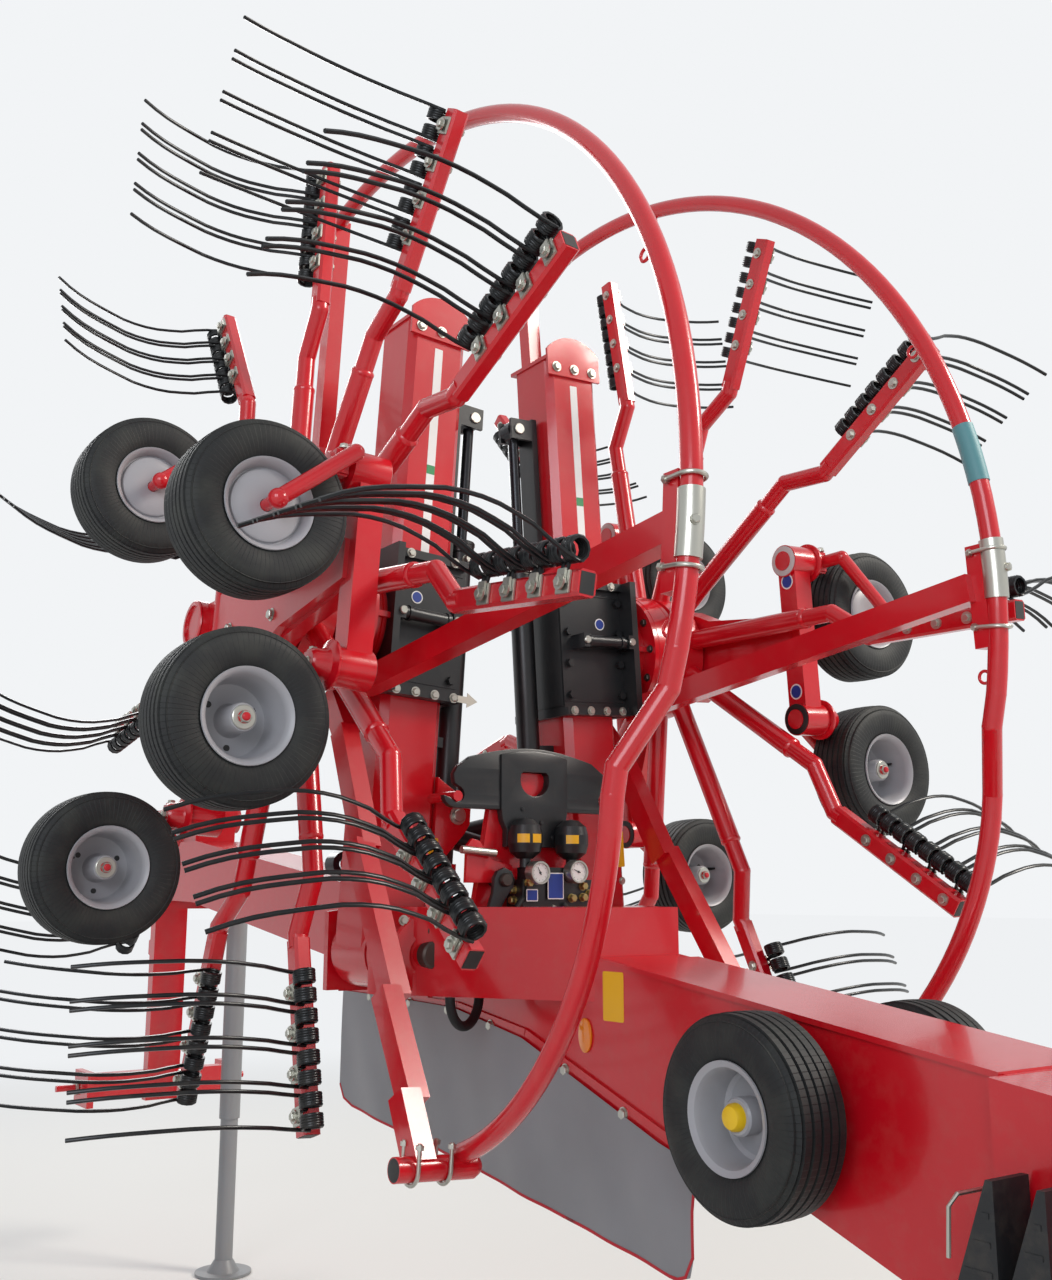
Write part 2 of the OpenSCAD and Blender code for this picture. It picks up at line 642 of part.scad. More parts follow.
main_beam();
pivot_head();
lift_pins();
lock_plate();
hydraulic_block();
accumulators();
curtain_rail();
curtain();
transport_axle();
chock_holder();
beam_stub_axles();
input_gearbox();
hose_loop();
headstock();
jack_tube();
jack_foot();
axle_wheel(-1);  // axle_wheel_left
axle_wheel(1);  // axle_wheel_right
beam_wheel(-1);  // beam_wheel_left
beam_wheel(1);  // beam_wheel_right
left_side() fold_arm(-1);  // fold_arm_left
right_side() fold_arm(1);  // fold_arm_right
left_side() lift_lug(-1);  // lift_lug_left
right_side() lift_lug(1);  // lift_lug_right
left_side() slide_barrel();  // slide_barrel_left
right_side() slide_barrel();  // slide_barrel_right
lift_barrel(-1);  // lift_barrel_left
lift_barrel(1);  // lift_barrel_right
lift_rod(-1);  // lift_rod_left
lift_rod(1);  // lift_rod_right
left_side() carriage();  // carriage_left
right_side() carriage();  // carriage_right
left_side() slide_rod();  // slide_rod_left
right_side() slide_rod();  // slide_rod_right
left_side() gear_housing();  // gear_housing_left
right_side() gear_housing();  // gear_housing_right
left_side() rotor_chassis();  // rotor_chassis_left
right_side() rotor_chassis();  // rotor_chassis_right
left_side() guard_hoop();  // guard_hoop_left
right_side() guard_hoop();  // guard_hoop_right
left_side() rotor_arms(phase_left);  // rotor_arms_left
right_side() rotor_arms(phase_right);  // rotor_arms_right
left_side() rotor_tines(phase_left);  // rotor_tines_left
right_side() rotor_tines(phase_right);  // rotor_tines_right
left_side() caster(0);  // caster_left_1
left_side() caster(1);  // caster_left_2
left_side() caster(2);  // caster_left_3
left_side() caster(3);  // caster_left_4
right_side() caster(0);  // caster_right_1
right_side() caster(1);  // caster_right_2
right_side() caster(2);  // caster_right_3
right_side() caster(3);  // caster_right_4
left_side() caster_wheel(0);  // wheel_left_1
left_side() caster_wheel(1);  // wheel_left_2
left_side() caster_wheel(2);  // wheel_left_3
left_side() caster_wheel(3);  // wheel_left_4
right_side() caster_wheel(0);  // wheel_right_1
right_side() caster_wheel(1);  // wheel_right_2
right_side() caster_wheel(2);  // wheel_right_3
right_side() caster_wheel(3);  // wheel_right_4
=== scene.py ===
import math
import bmesh
import bpy
from mathutils import Matrix, Vector


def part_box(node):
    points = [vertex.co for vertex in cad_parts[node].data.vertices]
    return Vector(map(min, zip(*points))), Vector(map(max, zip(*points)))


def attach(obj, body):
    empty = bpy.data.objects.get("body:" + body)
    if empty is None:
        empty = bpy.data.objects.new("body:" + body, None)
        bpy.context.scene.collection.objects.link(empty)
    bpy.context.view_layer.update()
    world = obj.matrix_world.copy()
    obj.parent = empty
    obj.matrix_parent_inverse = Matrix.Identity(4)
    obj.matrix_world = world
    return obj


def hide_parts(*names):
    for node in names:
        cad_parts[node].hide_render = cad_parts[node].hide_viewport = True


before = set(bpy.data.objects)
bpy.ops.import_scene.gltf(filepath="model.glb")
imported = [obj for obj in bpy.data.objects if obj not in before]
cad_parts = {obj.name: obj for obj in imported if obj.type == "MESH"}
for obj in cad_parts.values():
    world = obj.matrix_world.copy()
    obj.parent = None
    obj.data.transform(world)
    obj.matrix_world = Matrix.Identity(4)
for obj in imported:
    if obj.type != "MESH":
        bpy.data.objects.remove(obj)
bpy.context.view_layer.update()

# ---- Camera: a person standing off the left rear quarter, looking up a little at the rotors.
# The lens and the angles follow the photograph; the picture is 1052 by 1280.
camera_data = bpy.data.cameras.new("camera")
camera_data.sensor_fit = "HORIZONTAL"
camera_data.sensor_width = 36.0
camera_data.lens = 1300.0 / 1052.0 * 36.0
camera_data.clip_end = 200.0
camera = bpy.data.objects.new("camera", camera_data)
camera.location = (-2.20, -3.34, 1.60)
camera.rotation_euler = (math.radians(90 + 11.2), 0.0, math.radians(-35.0))
bpy.context.scene.collection.objects.link(camera)
bpy.context.scene.camera = camera
bpy.context.scene.view_settings.view_transform = "Standard"


# ---- Floor and light: a plain pale floor that runs into a pale sky, and soft studio light.
# The key stands high on the right as the sun did; the fill comes from behind the camera.
def linear(hex_colour):
    """sRGB hex to linear RGBA."""
    channels = [int(hex_colour[i:i + 2], 16) / 255.0 for i in (0, 2, 4)]
    return tuple(c / 12.92 if c <= 0.04045 else ((c + 0.055) / 1.055) ** 2.4 for c in channels) + (1.0,)


def new_material(name):
    """An empty node material; gives the material, its nodes, its links and its shader."""
    made = bpy.data.materials.new(name)
    made.use_nodes = True
    tree = made.node_tree
    return made, tree.nodes, tree.links, tree.nodes["Principled BSDF"]


floor_mesh = bpy.data.meshes.new("floor")
floor_mesh.from_pydata([(-90, -90, 0), (90, -90, 0), (90, 90, 0), (-90, 90, 0)], [], [(0, 1, 2, 3)])
floor = bpy.data.objects.new("floor", floor_mesh)
floor.location = (0, 0, -0.002)
bpy.context.scene.collection.objects.link(floor)
floor_paint, floor_nodes, floor_links, floor_shader = new_material("floor_paint")
floor_shader.inputs["Base Color"].default_value = linear("E2E1DE")
floor_shader.inputs["Roughness"].default_value = 0.85
floor_place = floor_nodes.new("ShaderNodeTexCoord")
floor_reach = floor_nodes.new("ShaderNodeVectorMath")
floor_reach.operation = "LENGTH"
floor_links.new(floor_place.outputs["Object"], floor_reach.inputs[0])
floor_far = floor_nodes.new("ShaderNodeMapRange")
floor_far.interpolation_type = "SMOOTHSTEP"
floor_far.inputs["From Min"].default_value = 4.5
floor_far.inputs["From Max"].default_value = 11.0
floor_links.new(floor_reach.outputs["Value"], floor_far.inputs["Value"])
floor_sky = floor_nodes.new("ShaderNodeEmission")
floor_sky.inputs["Color"].default_value = linear("EFF1F3")
floor_mix = floor_nodes.new("ShaderNodeMixShader")
floor_links.new(floor_far.outputs[0], floor_mix.inputs[0])
floor_links.new(floor_shader.outputs[0], floor_mix.inputs[1])
floor_links.new(floor_sky.outputs[0], floor_mix.inputs[2])
floor_links.new(floor_mix.outputs[0], floor_nodes["Material Output"].inputs["Surface"])
floor_mesh.materials.append(floor_paint)

world = bpy.data.worlds.new("studio")
bpy.context.scene.world = world
world.use_nodes = True
world_nodes, world_links = world.node_tree.nodes, world.node_tree.links
plain = world_nodes["Background"]
plain.inputs["Color"].default_value = linear("E8EDF3")
plain.inputs["Strength"].default_value = 0.42
seen = world_nodes.new("ShaderNodeBackground")
seen.inputs["Color"].default_value = linear("F2F4F6")
seen.inputs["Strength"].default_value = 1.0
ray = world_nodes.new("ShaderNodeLightPath")
camera_or_clear = world_nodes.new("ShaderNodeMath")
camera_or_clear.operation = "MAXIMUM"
world_links.new(ray.outputs["Is Camera Ray"], camera_or_clear.inputs[0])
world_links.new(ray.outputs["Is Transmission Ray"], camera_or_clear.inputs[1])
soft_gloss = world_nodes.new("ShaderNodeMath")
soft_gloss.operation = "MULTIPLY"
soft_gloss.inputs[1].default_value = 0.75
world_links.new(ray.outputs["Is Glossy Ray"], soft_gloss.inputs[0])
any_view = world_nodes.new("ShaderNodeMath")
any_view.operation = "MAXIMUM"
world_links.new(camera_or_clear.outputs[0], any_view.inputs[0])
world_links.new(soft_gloss.outputs[0], any_view.inputs[1])
blend_view = world_nodes.new("ShaderNodeMixShader")
world_links.new(any_view.outputs[0], blend_view.inputs[0])
world_links.new(plain.outputs[0], blend_view.inputs[1])
world_links.new(seen.outputs[0], blend_view.inputs[2])
world_links.new(blend_view.outputs[0], world_nodes["World Output"].inputs["Surface"])


def softbox(name, place, aim, size, power, colour):
    """An area lamp at place, turned to aim."""
    data = bpy.data.lights.new(name, "AREA")
    data.shape, data.size, data.size_y = "RECTANGLE", size[0], size[1]
    data.energy, data.color = power, linear(colour)[:3]
    lamp = bpy.data.objects.new(name, data)
    lamp.location = place
    lamp.rotation_euler = (Vector(aim) - Vector(place)).to_track_quat("-Z", "Y").to_euler()
    bpy.context.scene.collection.objects.link(lamp)


softbox("key", (6.5, -6.0, 8.5), (0, 0, 1.8), (3.0, 3.0), 900, "FFF8EE")
softbox("fill", (-7.0, -6.5, 4.5), (0, 0, 2.0), (5.0, 4.0), 330, "F1F6FF")
softbox("back", (1.0, 8.0, 6.5), (0, 0, 2.2), (6.0, 3.0), 350, "FFFFFF")


# ---- Main beam: a welded box beam of red sheet steel that carries the pivots and the axle.
# Two-pack red paint with a light orange peel; a blank yellow label, an amber reflector and
# zinc hex bolts along the curtain's rail.
def dusty_gloss(name, colour, shade, roughness, metallic=0.0, dust_amount=0.10, peel=0.05, scale=9.0, coat=0.0):
    """Paint or metal with soft tone drift, a fine surface and thin dust low down."""
    made, nodes, links, shader = new_material(name)
    place = nodes.new("ShaderNodeTexCoord")
    drift = nodes.new("ShaderNodeTexNoise")
    drift.inputs["Scale"].default_value = scale * 0.28
    drift.inputs["Detail"].default_value = 4.0
    links.new(place.outputs["Object"], drift.inputs["Vector"])
    tone = nodes.new("ShaderNodeMix")
    tone.data_type = "RGBA"
    tone.inputs[6].default_value = linear(colour)
    tone.inputs[7].default_value = linear(shade)
    links.new(drift.outputs["Fac"], tone.inputs[0])
    grime = nodes.new("ShaderNodeTexNoise")
    grime.inputs["Scale"].default_value = scale * 1.7
    grime.inputs["Detail"].default_value = 7.0
    grime.inputs["Roughness"].default_value = 0.65
    links.new(place.outputs["Object"], grime.inputs["Vector"])
    split = nodes.new("ShaderNodeSeparateXYZ")
    links.new(place.outputs["Object"], split.inputs[0])
    low = nodes.new("ShaderNodeMapRange")
    low.inputs["From Min"].default_value = 1.9
    low.inputs["From Max"].default_value = 0.1
    low.inputs["To Min"].default_value = 0.35
    low.inputs["To Max"].default_value = 1.5
    links.new(split.outputs["Z"], low.inputs["Value"])
    patch = nodes.new("ShaderNodeMapRange")
    patch.inputs["From Min"].default_value = 0.48
    patch.inputs["From Max"].default_value = 0.75
    patch.inputs["To Max"].default_value = dust_amount
    links.new(grime.outputs["Fac"], patch.inputs["Value"])
    amount = nodes.new("ShaderNodeMath")
    amount.operation = "MULTIPLY"
    amount.use_clamp = True
    links.new(patch.outputs[0], amount.inputs[0])
    links.new(low.outputs[0], amount.inputs[1])
    dusted = nodes.new("ShaderNodeMix")
    dusted.data_type = "RGBA"
    dusted.inputs[7].default_value = linear("9A8C7A")
    links.new(amount.outputs[0], dusted.inputs[0])
    links.new(tone.outputs[2], dusted.inputs[6])
    links.new(dusted.outputs[2], shader.inputs["Base Color"])
    rough = nodes.new("ShaderNodeMapRange")
    rough.inputs["To Min"].default_value = roughness
    rough.inputs["To Max"].default_value = min(1.0, roughness + 0.45)
    links.new(amount.outputs[0], rough.inputs["Value"])
    links.new(rough.outputs[0], shader.inputs["Roughness"])
    skin = nodes.new("ShaderNodeTexNoise")
    skin.inputs["Scale"].default_value = 130.0
    skin.inputs["Detail"].default_value = 2.0
    links.new(place.outputs["Object"], skin.inputs["Vector"])
    bump = nodes.new("ShaderNodeBump")
    bump.inputs["Strength"].default_value = peel
    bump.inputs["Distance"].default_value = 0.002
    links.new(skin.outputs["Fac"], bump.inputs["Height"])
    links.new(bump.outputs[0], shader.inputs["Normal"])
    shader.inputs["Metallic"].default_value = metallic
    shader.inputs["Coat Weight"].default_value = coat
    shader.inputs["Coat Roughness"].default_value = 0.08
    return made


red_paint = dusty_gloss("red_paint", "D0101F", "BC0B1A", 0.24, coat=0.35)
black_paint = dusty_gloss("black_paint", "131416", "1B1D1F", 0.34, dust_amount=0.08)
zinc_plate = dusty_gloss("zinc_plate", "C9C8C0", "A7A69B", 0.30, metallic=0.9, dust_amount=0.06)
yellow_vinyl = dusty_gloss("yellow_vinyl", "F2B90C", "E8AE0A", 0.38, dust_amount=0.05, peel=0.0)


def dress(node_names, material):
    """The named CAD nodes keep their shape and get one material."""
    for node_name in node_names:
        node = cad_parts[node_name]
        node.data.materials.clear()
        node.data.materials.append(material)


def add_part(build, corners, faces, place=Matrix()):
    """Adds corners and faces to a piece, put in place by a matrix."""
    made = [build.verts.new(place @ Vector(corner)) for corner in corners]
    for face in faces:
        build.faces.new([made[i] for i in face])


def add_block(build, low, high, place=Matrix(), ease=0.002):
    """A box with eased edges between two corners."""
    solid = bmesh.new()
    bmesh.ops.create_cube(solid, size=1.0)
    for corner in solid.verts:
        corner.co = [(low[i] + high[i]) / 2 + corner.co[i] * (high[i] - low[i]) for i in range(3)]
    bmesh.ops.bevel(solid, geom=solid.edges[:], offset=ease, segments=2, affect="EDGES", clamp_overlap=True)
    solid.verts.index_update()
    add_part(build, [v.co for v in solid.verts], [[v.index for v in f.verts] for f in solid.faces], place)
    solid.free()


def cut_plate(build, outlines, low, high, place=Matrix(), ease=0.0):
    """A flat plate from low to high along its normal, cut to closed outlines, with holes."""
    curve = bpy.data.curves.new("outline", "CURVE")
    curve.dimensions, curve.fill_mode = "2D", "BOTH"
    curve.extrude, curve.bevel_depth, curve.bevel_resolution = (high - low) / 2 - ease, ease, 1
    curve.offset = -ease
    for outline in outlines:
        line = curve.splines.new("POLY")
        line.points.add(len(outline) - 1)
        for point, corner in zip(line.points, outline):
            point.co = (corner[0], corner[1], 0, 1)
        line.use_cyclic_u = True
    shape = bpy.data.objects.new("outline", curve)
    bpy.context.scene.collection.objects.link(shape)
    flat = bpy.data.meshes.new_from_object(shape.evaluated_get(bpy.context.evaluated_depsgraph_get()))
    add_part(build, [v.co for v in flat.vertices], [list(p.vertices) for p in flat.polygons],
             place @ Matrix.Translation((0, 0, (low + high) / 2)))
    bpy.data.objects.remove(shape)
    bpy.data.curves.remove(curve)
    bpy.data.meshes.remove(flat)


def round_corners(width, height, radius, steps=4):
    """The outline of a centred rectangle with round corners."""
    outline = []
    for sx, sy, start in ((1, 1, 0), (-1, 1, 90), (-1, -1, 180), (1, -1, 270)):
        for k in range(steps + 1):
            turn = math.radians(start + 90 * k / steps)
            outline.append((sx * (width / 2 - radius) + radius * math.cos(turn),
                            sy * (height / 2 - radius) + radius * math.sin(turn)))
    return outline


def facing(centre, across, up):
    """The place of a flat piece: its centre, its width's and its height's directions."""
    across, up = Vector(across).normalized(), Vector(up).normalized()
    out = across.cross(up).normalized()
    up = out.cross(across)
    turn = Matrix((across, up, out)).transposed().to_4x4()
    return Matrix.Translation(centre) @ turn


def finish(build, name, body, material, angle=35):
    """Closes a piece: doubles merged, faces outwards, kept edges; it rides on its body."""
    bmesh.ops.remove_doubles(build, verts=build.verts, dist=2e-6)
    bmesh.ops.recalc_face_normals(build, faces=build.faces)
    mesh = bpy.data.meshes.new(name)
    build.to_mesh(mesh)
    build.free()
    mesh.shade_smooth()
    mesh.set_sharp_from_angle(angle=math.radians(angle))
    mesh.materials.append(material)
    piece = bpy.data.objects.new(name, mesh)
    bpy.context.scene.collection.objects.link(piece)
    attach(piece, body)
    return piece


def sockets(tree, inputs):
    """Gives a geometry tree its geometry sockets and its named inputs."""
    face = tree.interface
    face.new_socket("Geometry", in_out="INPUT", socket_type="NodeSocketGeometry")
    for name, value in inputs.items():
        number = "NodeSocketInt" if isinstance(value, int) else "NodeSocketFloat"
        kind = "NodeSocketMaterial" if value is None else number
        socket = face.new_socket(name, in_out="INPUT", socket_type=kind)
        if value is not None:
            socket.default_value = value
    face.new_socket("Geometry", in_out="OUTPUT", socket_type="NodeSocketGeometry")
    return tree.nodes.new("NodeGroupInput").outputs


def close_tree(tree, instances, material):
    """Realize Instances and Set Material end each tree."""
    solid = tree.nodes.new("GeometryNodeRealizeInstances")
    painted = tree.nodes.new("GeometryNodeSetMaterial")
    tree.links.new(instances, solid.inputs[0])
    tree.links.new(solid.outputs[0], painted.inputs["Geometry"])
    tree.links.new(material, painted.inputs["Material"])
    tree.links.new(painted.outputs[0], tree.nodes.new("NodeGroupOutput").inputs[0])


def points_mesh(name, places, **fields):
    """Loose points, each with its numbers or directions as attributes."""
    mesh = bpy.data.meshes.new(name)
    mesh.from_pydata([tuple(p) for p in places], [], [])
    for field, values in fields.items():
        if isinstance(values[0], float):
            mesh.attributes.new(field, "FLOAT", "POINT").data.foreach_set("value", values)
        else:
            flat = [c for v in values for c in v]
            mesh.attributes.new(field, "FLOAT_VECTOR", "POINT").data.foreach_set("vector", flat)
    return mesh


def grow(tree, name, seed, values):
    """Runs a tree on a seed mesh and gives the plain mesh that it makes."""
    rough = bpy.data.objects.new(name + "_seed", seed)
    bpy.context.scene.collection.objects.link(rough)
    rule = rough.modifiers.new("rule", "NODES")
    rule.node_group = tree
    idents = {s.name: s.identifier for s in tree.interface.items_tree if s.in_out == "INPUT"}
    for key, value in values.items():
        rule[idents[key]] = value
    mesh = bpy.data.meshes.new_from_object(rough.evaluated_get(bpy.context.evaluated_depsgraph_get()))
    rough.modifiers.remove(rule)
    bpy.data.objects.remove(rough)
    mesh.name = name
    return mesh


# the hex head, its chamfer and its washer, set on points along each point's own axis
bolt_tree = bpy.data.node_groups.new("hex_bolts", "GeometryNodeTree")
bolt_in = sockets(bolt_tree, {"Head Width": 0.019, "Head Height": 0.008, "Washer Radius": 0.0125, "Material": None})
bolt_nodes, bolt_links = bolt_tree.nodes, bolt_tree.links


def tree_math(tree, operation, first, second):
    """One Math node of a geometry tree; numbers or sockets go in."""
    node = tree.nodes.new("ShaderNodeMath")
    node.operation = operation
    for k, value in enumerate((first, second)):
        if isinstance(value, (int, float)):
            node.inputs[k].default_value = value
        else:
            tree.links.new(value, node.inputs[k])
    return node.outputs[0]


def lifted(tree, mesh, height):
    """Moves a mesh up by a height."""
    shift = tree.nodes.new("GeometryNodeTransform")
    lift = tree.nodes.new("ShaderNodeCombineXYZ")
    tree.links.new(height, lift.inputs["Z"])
    tree.links.new(lift.outputs[0], shift.inputs["Translation"])
    tree.links.new(mesh, shift.inputs["Geometry"])
    return shift.outputs[0]


head_radius = tree_math(bolt_tree, "MULTIPLY", bolt_in["Head Width"], 0.577)
hex_head = bolt_nodes.new("GeometryNodeMeshCylinder")
hex_head.inputs["Vertices"].default_value = 6
hex_depth = tree_math(bolt_tree, "MULTIPLY", bolt_in["Head Height"], 0.82)
bolt_links.new(head_radius, hex_head.inputs["Radius"])
bolt_links.new(hex_depth, hex_head.inputs["Depth"])
hex_top = bolt_nodes.new("GeometryNodeMeshCone")
hex_top.inputs["Vertices"].default_value = 6
bolt_links.new(tree_math(bolt_tree, "MULTIPLY", head_radius, 0.84), hex_top.inputs["Radius Top"])
bolt_links.new(head_radius, hex_top.inputs["Radius Bottom"])
bolt_links.new(tree_math(bolt_tree, "MULTIPLY", bolt_in["Head Height"], 0.18), hex_top.inputs["Depth"])
washer = bolt_nodes.new("GeometryNodeMeshCylinder")
washer.inputs["Vertices"].default_value = 20
washer.inputs["Depth"].default_value = 0.004
bolt_links.new(bolt_in["Washer Radius"], washer.inputs["Radius"])
bolt_shape = bolt_nodes.new("GeometryNodeJoinGeometry")
bolt_links.new(lifted(bolt_tree, hex_head.outputs[0], tree_math(bolt_tree, "MULTIPLY", hex_depth, 0.5)),
               bolt_shape.inputs[0])
bolt_links.new(lifted(bolt_tree, hex_top.outputs[0], hex_depth), bolt_shape.inputs[0])
bolt_links.new(washer.outputs[0], bolt_shape.inputs[0])
bolt_axis = bolt_nodes.new("GeometryNodeInputNamedAttribute")
bolt_axis.data_type = "FLOAT_VECTOR"
bolt_axis.inputs["Name"].default_value = "axis"
bolt_turn = bolt_nodes.new("FunctionNodeAlignRotationToVector")
bolt_turn.axis = "Z"
bolt_links.new(bolt_axis.outputs[0], bolt_turn.inputs["Vector"])
bolt_spots = bolt_nodes.new("GeometryNodeInstanceOnPoints")
bolt_links.new(bolt_in["Geometry"], bolt_spots.inputs["Points"])
bolt_links.new(bolt_shape.outputs[0], bolt_spots.inputs["Instance"])
bolt_links.new(bolt_turn.outputs[0], bolt_spots.inputs["Rotation"])
close_tree(bolt_tree, bolt_spots.outputs[0], bolt_in["Material"])


def bolt_row(name, spots, body, across=0.019, height=0.008, washer_radius=0.0125, material=zinc_plate,
             place=Matrix()):
    """Hex bolts with washers at spots given as (place, axis), riding on a body."""
    turn = place.to_3x3()
    seed = points_mesh(name, [place @ Vector(s[0]) for s in spots],
                       axis=[tuple((turn @ Vector(s[1])).normalized()) for s in spots])
    mesh = grow(bolt_tree, name, seed, {"Head Width": across, "Head Height": height,
                                        "Washer Radius": washer_radius, "Material": material})
    mesh.shade_flat()
    piece = bpy.data.objects.new(name, mesh)
    bpy.context.scene.collection.objects.link(piece)
    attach(piece, body)
    return piece


dress(["main_beam"], red_paint)
BEAM_LEFT = -0.1400
beam_labels = bmesh.new()
cut_plate(beam_labels, [round_corners(0.080, 0.118, 0.005)], 0.0, 0.0006,
          facing((BEAM_LEFT, -0.770, 1.362), (0, -1, 0), (0, 0.13, 1)))
finish(beam_labels, "beam_label", "frame", yellow_vinyl)
rail_bolts = [((-0.1485, y, z), (-1, 0, 0)) for y, z in
              ((0.45, 1.289), (0.20, 1.286), (-0.02, 1.281), (-0.24, 1.254), (-0.584, 1.172), (-0.814, 1.096))]
bolt_row("rail_bolts", rail_bolts, "frame", across=0.022, height=0.010, washer_radius=0.016)
beam_lid = bmesh.new()
LID_X, LID_Y, LID_Z = -0.190, -2.25, 0.98
cut_plate(beam_lid, [round_corners(0.26, 0.20, 0.03)], 0.0, 0.004,
          facing((LID_X, LID_Y, LID_Z), (0, -1, 0), (0, 0, 1)), ease=0.0012)
finish(beam_lid, "beam_lid", "frame", red_paint)
bolt_row("beam_lid_bolts", [((LID_X - 0.004, LID_Y + a * 0.11, LID_Z + b * 0.08), (-1, 0, 0))
                            for a in (-1, 1) for b in (-1, 1)], "frame", across=0.013, height=0.006,
         washer_radius=0.010)

amber_plastic = dusty_gloss("amber_plastic", "F08A10", "E07708", 0.12, dust_amount=0.03, peel=0.0, coat=0.6)
reflector = bmesh.new()
oval = [(0.026 * math.cos(math.tau * k / 28), 0.042 * math.sin(math.tau * k / 28)) for k in range(28)]
cut_plate(reflector, [oval], 0.0, 0.006, facing((BEAM_LEFT, -0.660, 1.262), (0, -1, 0), (0, 0.13, 1)), ease=0.002)
finish(reflector, "side_reflector", "frame", amber_plastic)


# ---- Transport axle and road wheels: a square axle under the beam's tail, stub ends, and two
# wide low-pressure tyres on grey pressed rims. The tread is moulded: ribs with fine sipes.
def turned(build, profile, count, place=Matrix(), ring=False, repeat=1.0):
    """Turns a profile of (radius, along) round the local X axis; UV runs round and along."""
    layer = build.loops.layers.uv.verify()
    length, along = 0.0, [0.0]
    for first, second in zip(profile, profile[1:]):
        length += math.dist(first, second)
        along.append(length)
    rows = []
    for radius, reach in profile:
        if radius < 1e-6:
            rows.append([build.verts.new(place @ Vector((reach, 0, 0)))] * count)
        else:
            rows.append([build.verts.new(place @ Vector((reach, radius * math.cos(math.tau * k / count),
                                                         radius * math.sin(math.tau * k / count))))
                         for k in range(count)])
    pairs = list(zip(range(len(rows) - 1), range(1, len(rows))))
    if ring:
        pairs.append((len(rows) - 1, 0))
    for low, high in pairs:
        for k in range(count):
            nxt = (k + 1) % count
            corners = [(rows[low][k], k, low), (rows[low][nxt], k + 1, low), (rows[high][nxt], k + 1, high),
                       (rows[high][k], k, high)]
            used = []
            for corner in corners:
                if all(corner[0] is not other[0] for other in used):
                    used.append(corner)
            if len(used) > 2:
                face = build.faces.new([c[0] for c in used])
                for loop, corner in zip(face.loops, used):
                    loop[layer].uv = (corner[1] / count * repeat, along[corner[2]] if high else along[-1])


def rubber(name, colour, pale, sipes):
    """Tyre rubber: matt black, pale dust in random patches, fine sipes across the ribs from the UV."""
    made, nodes, links, shader = new_material(name)
    place = nodes.new("ShaderNodeTexCoord")
    fine = nodes.new("ShaderNodeTexNoise")
    fine.inputs["Scale"].default_value = 14.0
    fine.inputs["Detail"].default_value = 8.0
    links.new(place.outputs["Object"], fine.inputs["Vector"])
    spread = nodes.new("ShaderNodeMapRange")
    spread.inputs["From Min"].default_value = 0.42
    spread.inputs["From Max"].default_value = 0.72
    links.new(fine.outputs["Fac"], spread.inputs["Value"])
    tone = nodes.new("ShaderNodeMix")
    tone.data_type = "RGBA"
    tone.inputs[6].default_value = linear(colour)
    tone.inputs[7].default_value = linear(pale)
    links.new(spread.outputs[0], tone.inputs[0])
    links.new(tone.outputs[2], shader.inputs["Base Color"])
    shader.inputs["Roughness"].default_value = 0.62
    shader.inputs["Specular IOR Level"].default_value = 0.4
    split = nodes.new("ShaderNodeSeparateXYZ")
    links.new(place.outputs["UV"], split.inputs[0])
    comb = nodes.new("ShaderNodeCombineXYZ")
    links.new(split.outputs["X"], comb.inputs["X"])
    wave = nodes.new("ShaderNodeTexWave")
    wave.inputs["Scale"].default_value = sipes
    wave.wave_profile = "SAW"
    links.new(comb.outputs[0], wave.inputs["Vector"])
    slit = nodes.new("ShaderNodeMapRange")
    slit.inputs["From Min"].default_value = 0.0
    slit.inputs["From Max"].default_value = 0.14
    links.new(wave.outputs["Fac"], slit.inputs["Value"])
    grain = nodes.new("ShaderNodeTexNoise")
    grain.inputs["Scale"].default_value = 220.0
    links.new(place.outputs["Object"], grain.inputs["Vector"])
    both = nodes.new("ShaderNodeMath")
    both.operation = "MULTIPLY_ADD"
    both.inputs[1].default_value = 0.25
    links.new(grain.outputs["Fac"], both.inputs[0])
    links.new(slit.outputs[0], both.inputs[2])
    bump = nodes.new("ShaderNodeBump")
    bump.inputs["Strength"].default_value = 0.35
    bump.inputs["Distance"].default_value = 0.003
    links.new(both.outputs[0], bump.inputs["Height"])
    links.new(bump.outputs[0], shader.inputs["Normal"])
    return made


tyre_rubber = rubber("tyre_rubber", "17191A", "2A2C29", 26.0)
rim_grey = dusty_gloss("rim_grey", "A9A9AD", "97979B", 0.36, dust_amount=0.16)
zinc_yellow = dusty_gloss("zinc_yellow", "B9A46A", "9C8B5C", 0.34, metallic=0.85, dust_amount=0.06)


def tyre(build, radius, width, rim, ribs, place, groove=0.006):
    """A tubeless tyre: bead, rounded wall, square shoulder and a tread of ribs."""
    wall = radius - rim
    side = [(rim - 0.002, 0.385), (rim + 0.010, 0.43), (rim + 0.18 * wall, 0.462), (rim + 0.34 * wall, 0.492),
            (rim + 0.50 * wall, 0.5), (rim + 0.66 * wall, 0.496), (rim + 0.79 * wall, 0.478),
            (rim + 0.81 * wall, 0.468), (rim + 0.83 * wall, 0.473), (radius - 0.016, 0.440),
            (radius - 0.0065, 0.405)]
    profile = [(r, -a * width) for r, a in side]
    pitch = width * 0.78 / ribs
    for k in range(ribs):
        middle = (k - (ribs - 1) / 2) * pitch
        crown = 0.0035 * (2 * middle / (width * 0.78)) ** 2
        for edge, deep in ((-0.40, 1), (-0.36, 0), (0.36, 0), (0.40, 1)):
            profile.append((radius - crown - (groove if deep else 0.0), middle + edge * pitch))
    profile += [(r, a * width) for r, a in reversed(side)]
    profile += [(rim - 0.002, 0.1 * width), (rim - 0.002, -0.1 * width)]
    turned(build, profile, 96, place, ring=True, repeat=1.0)


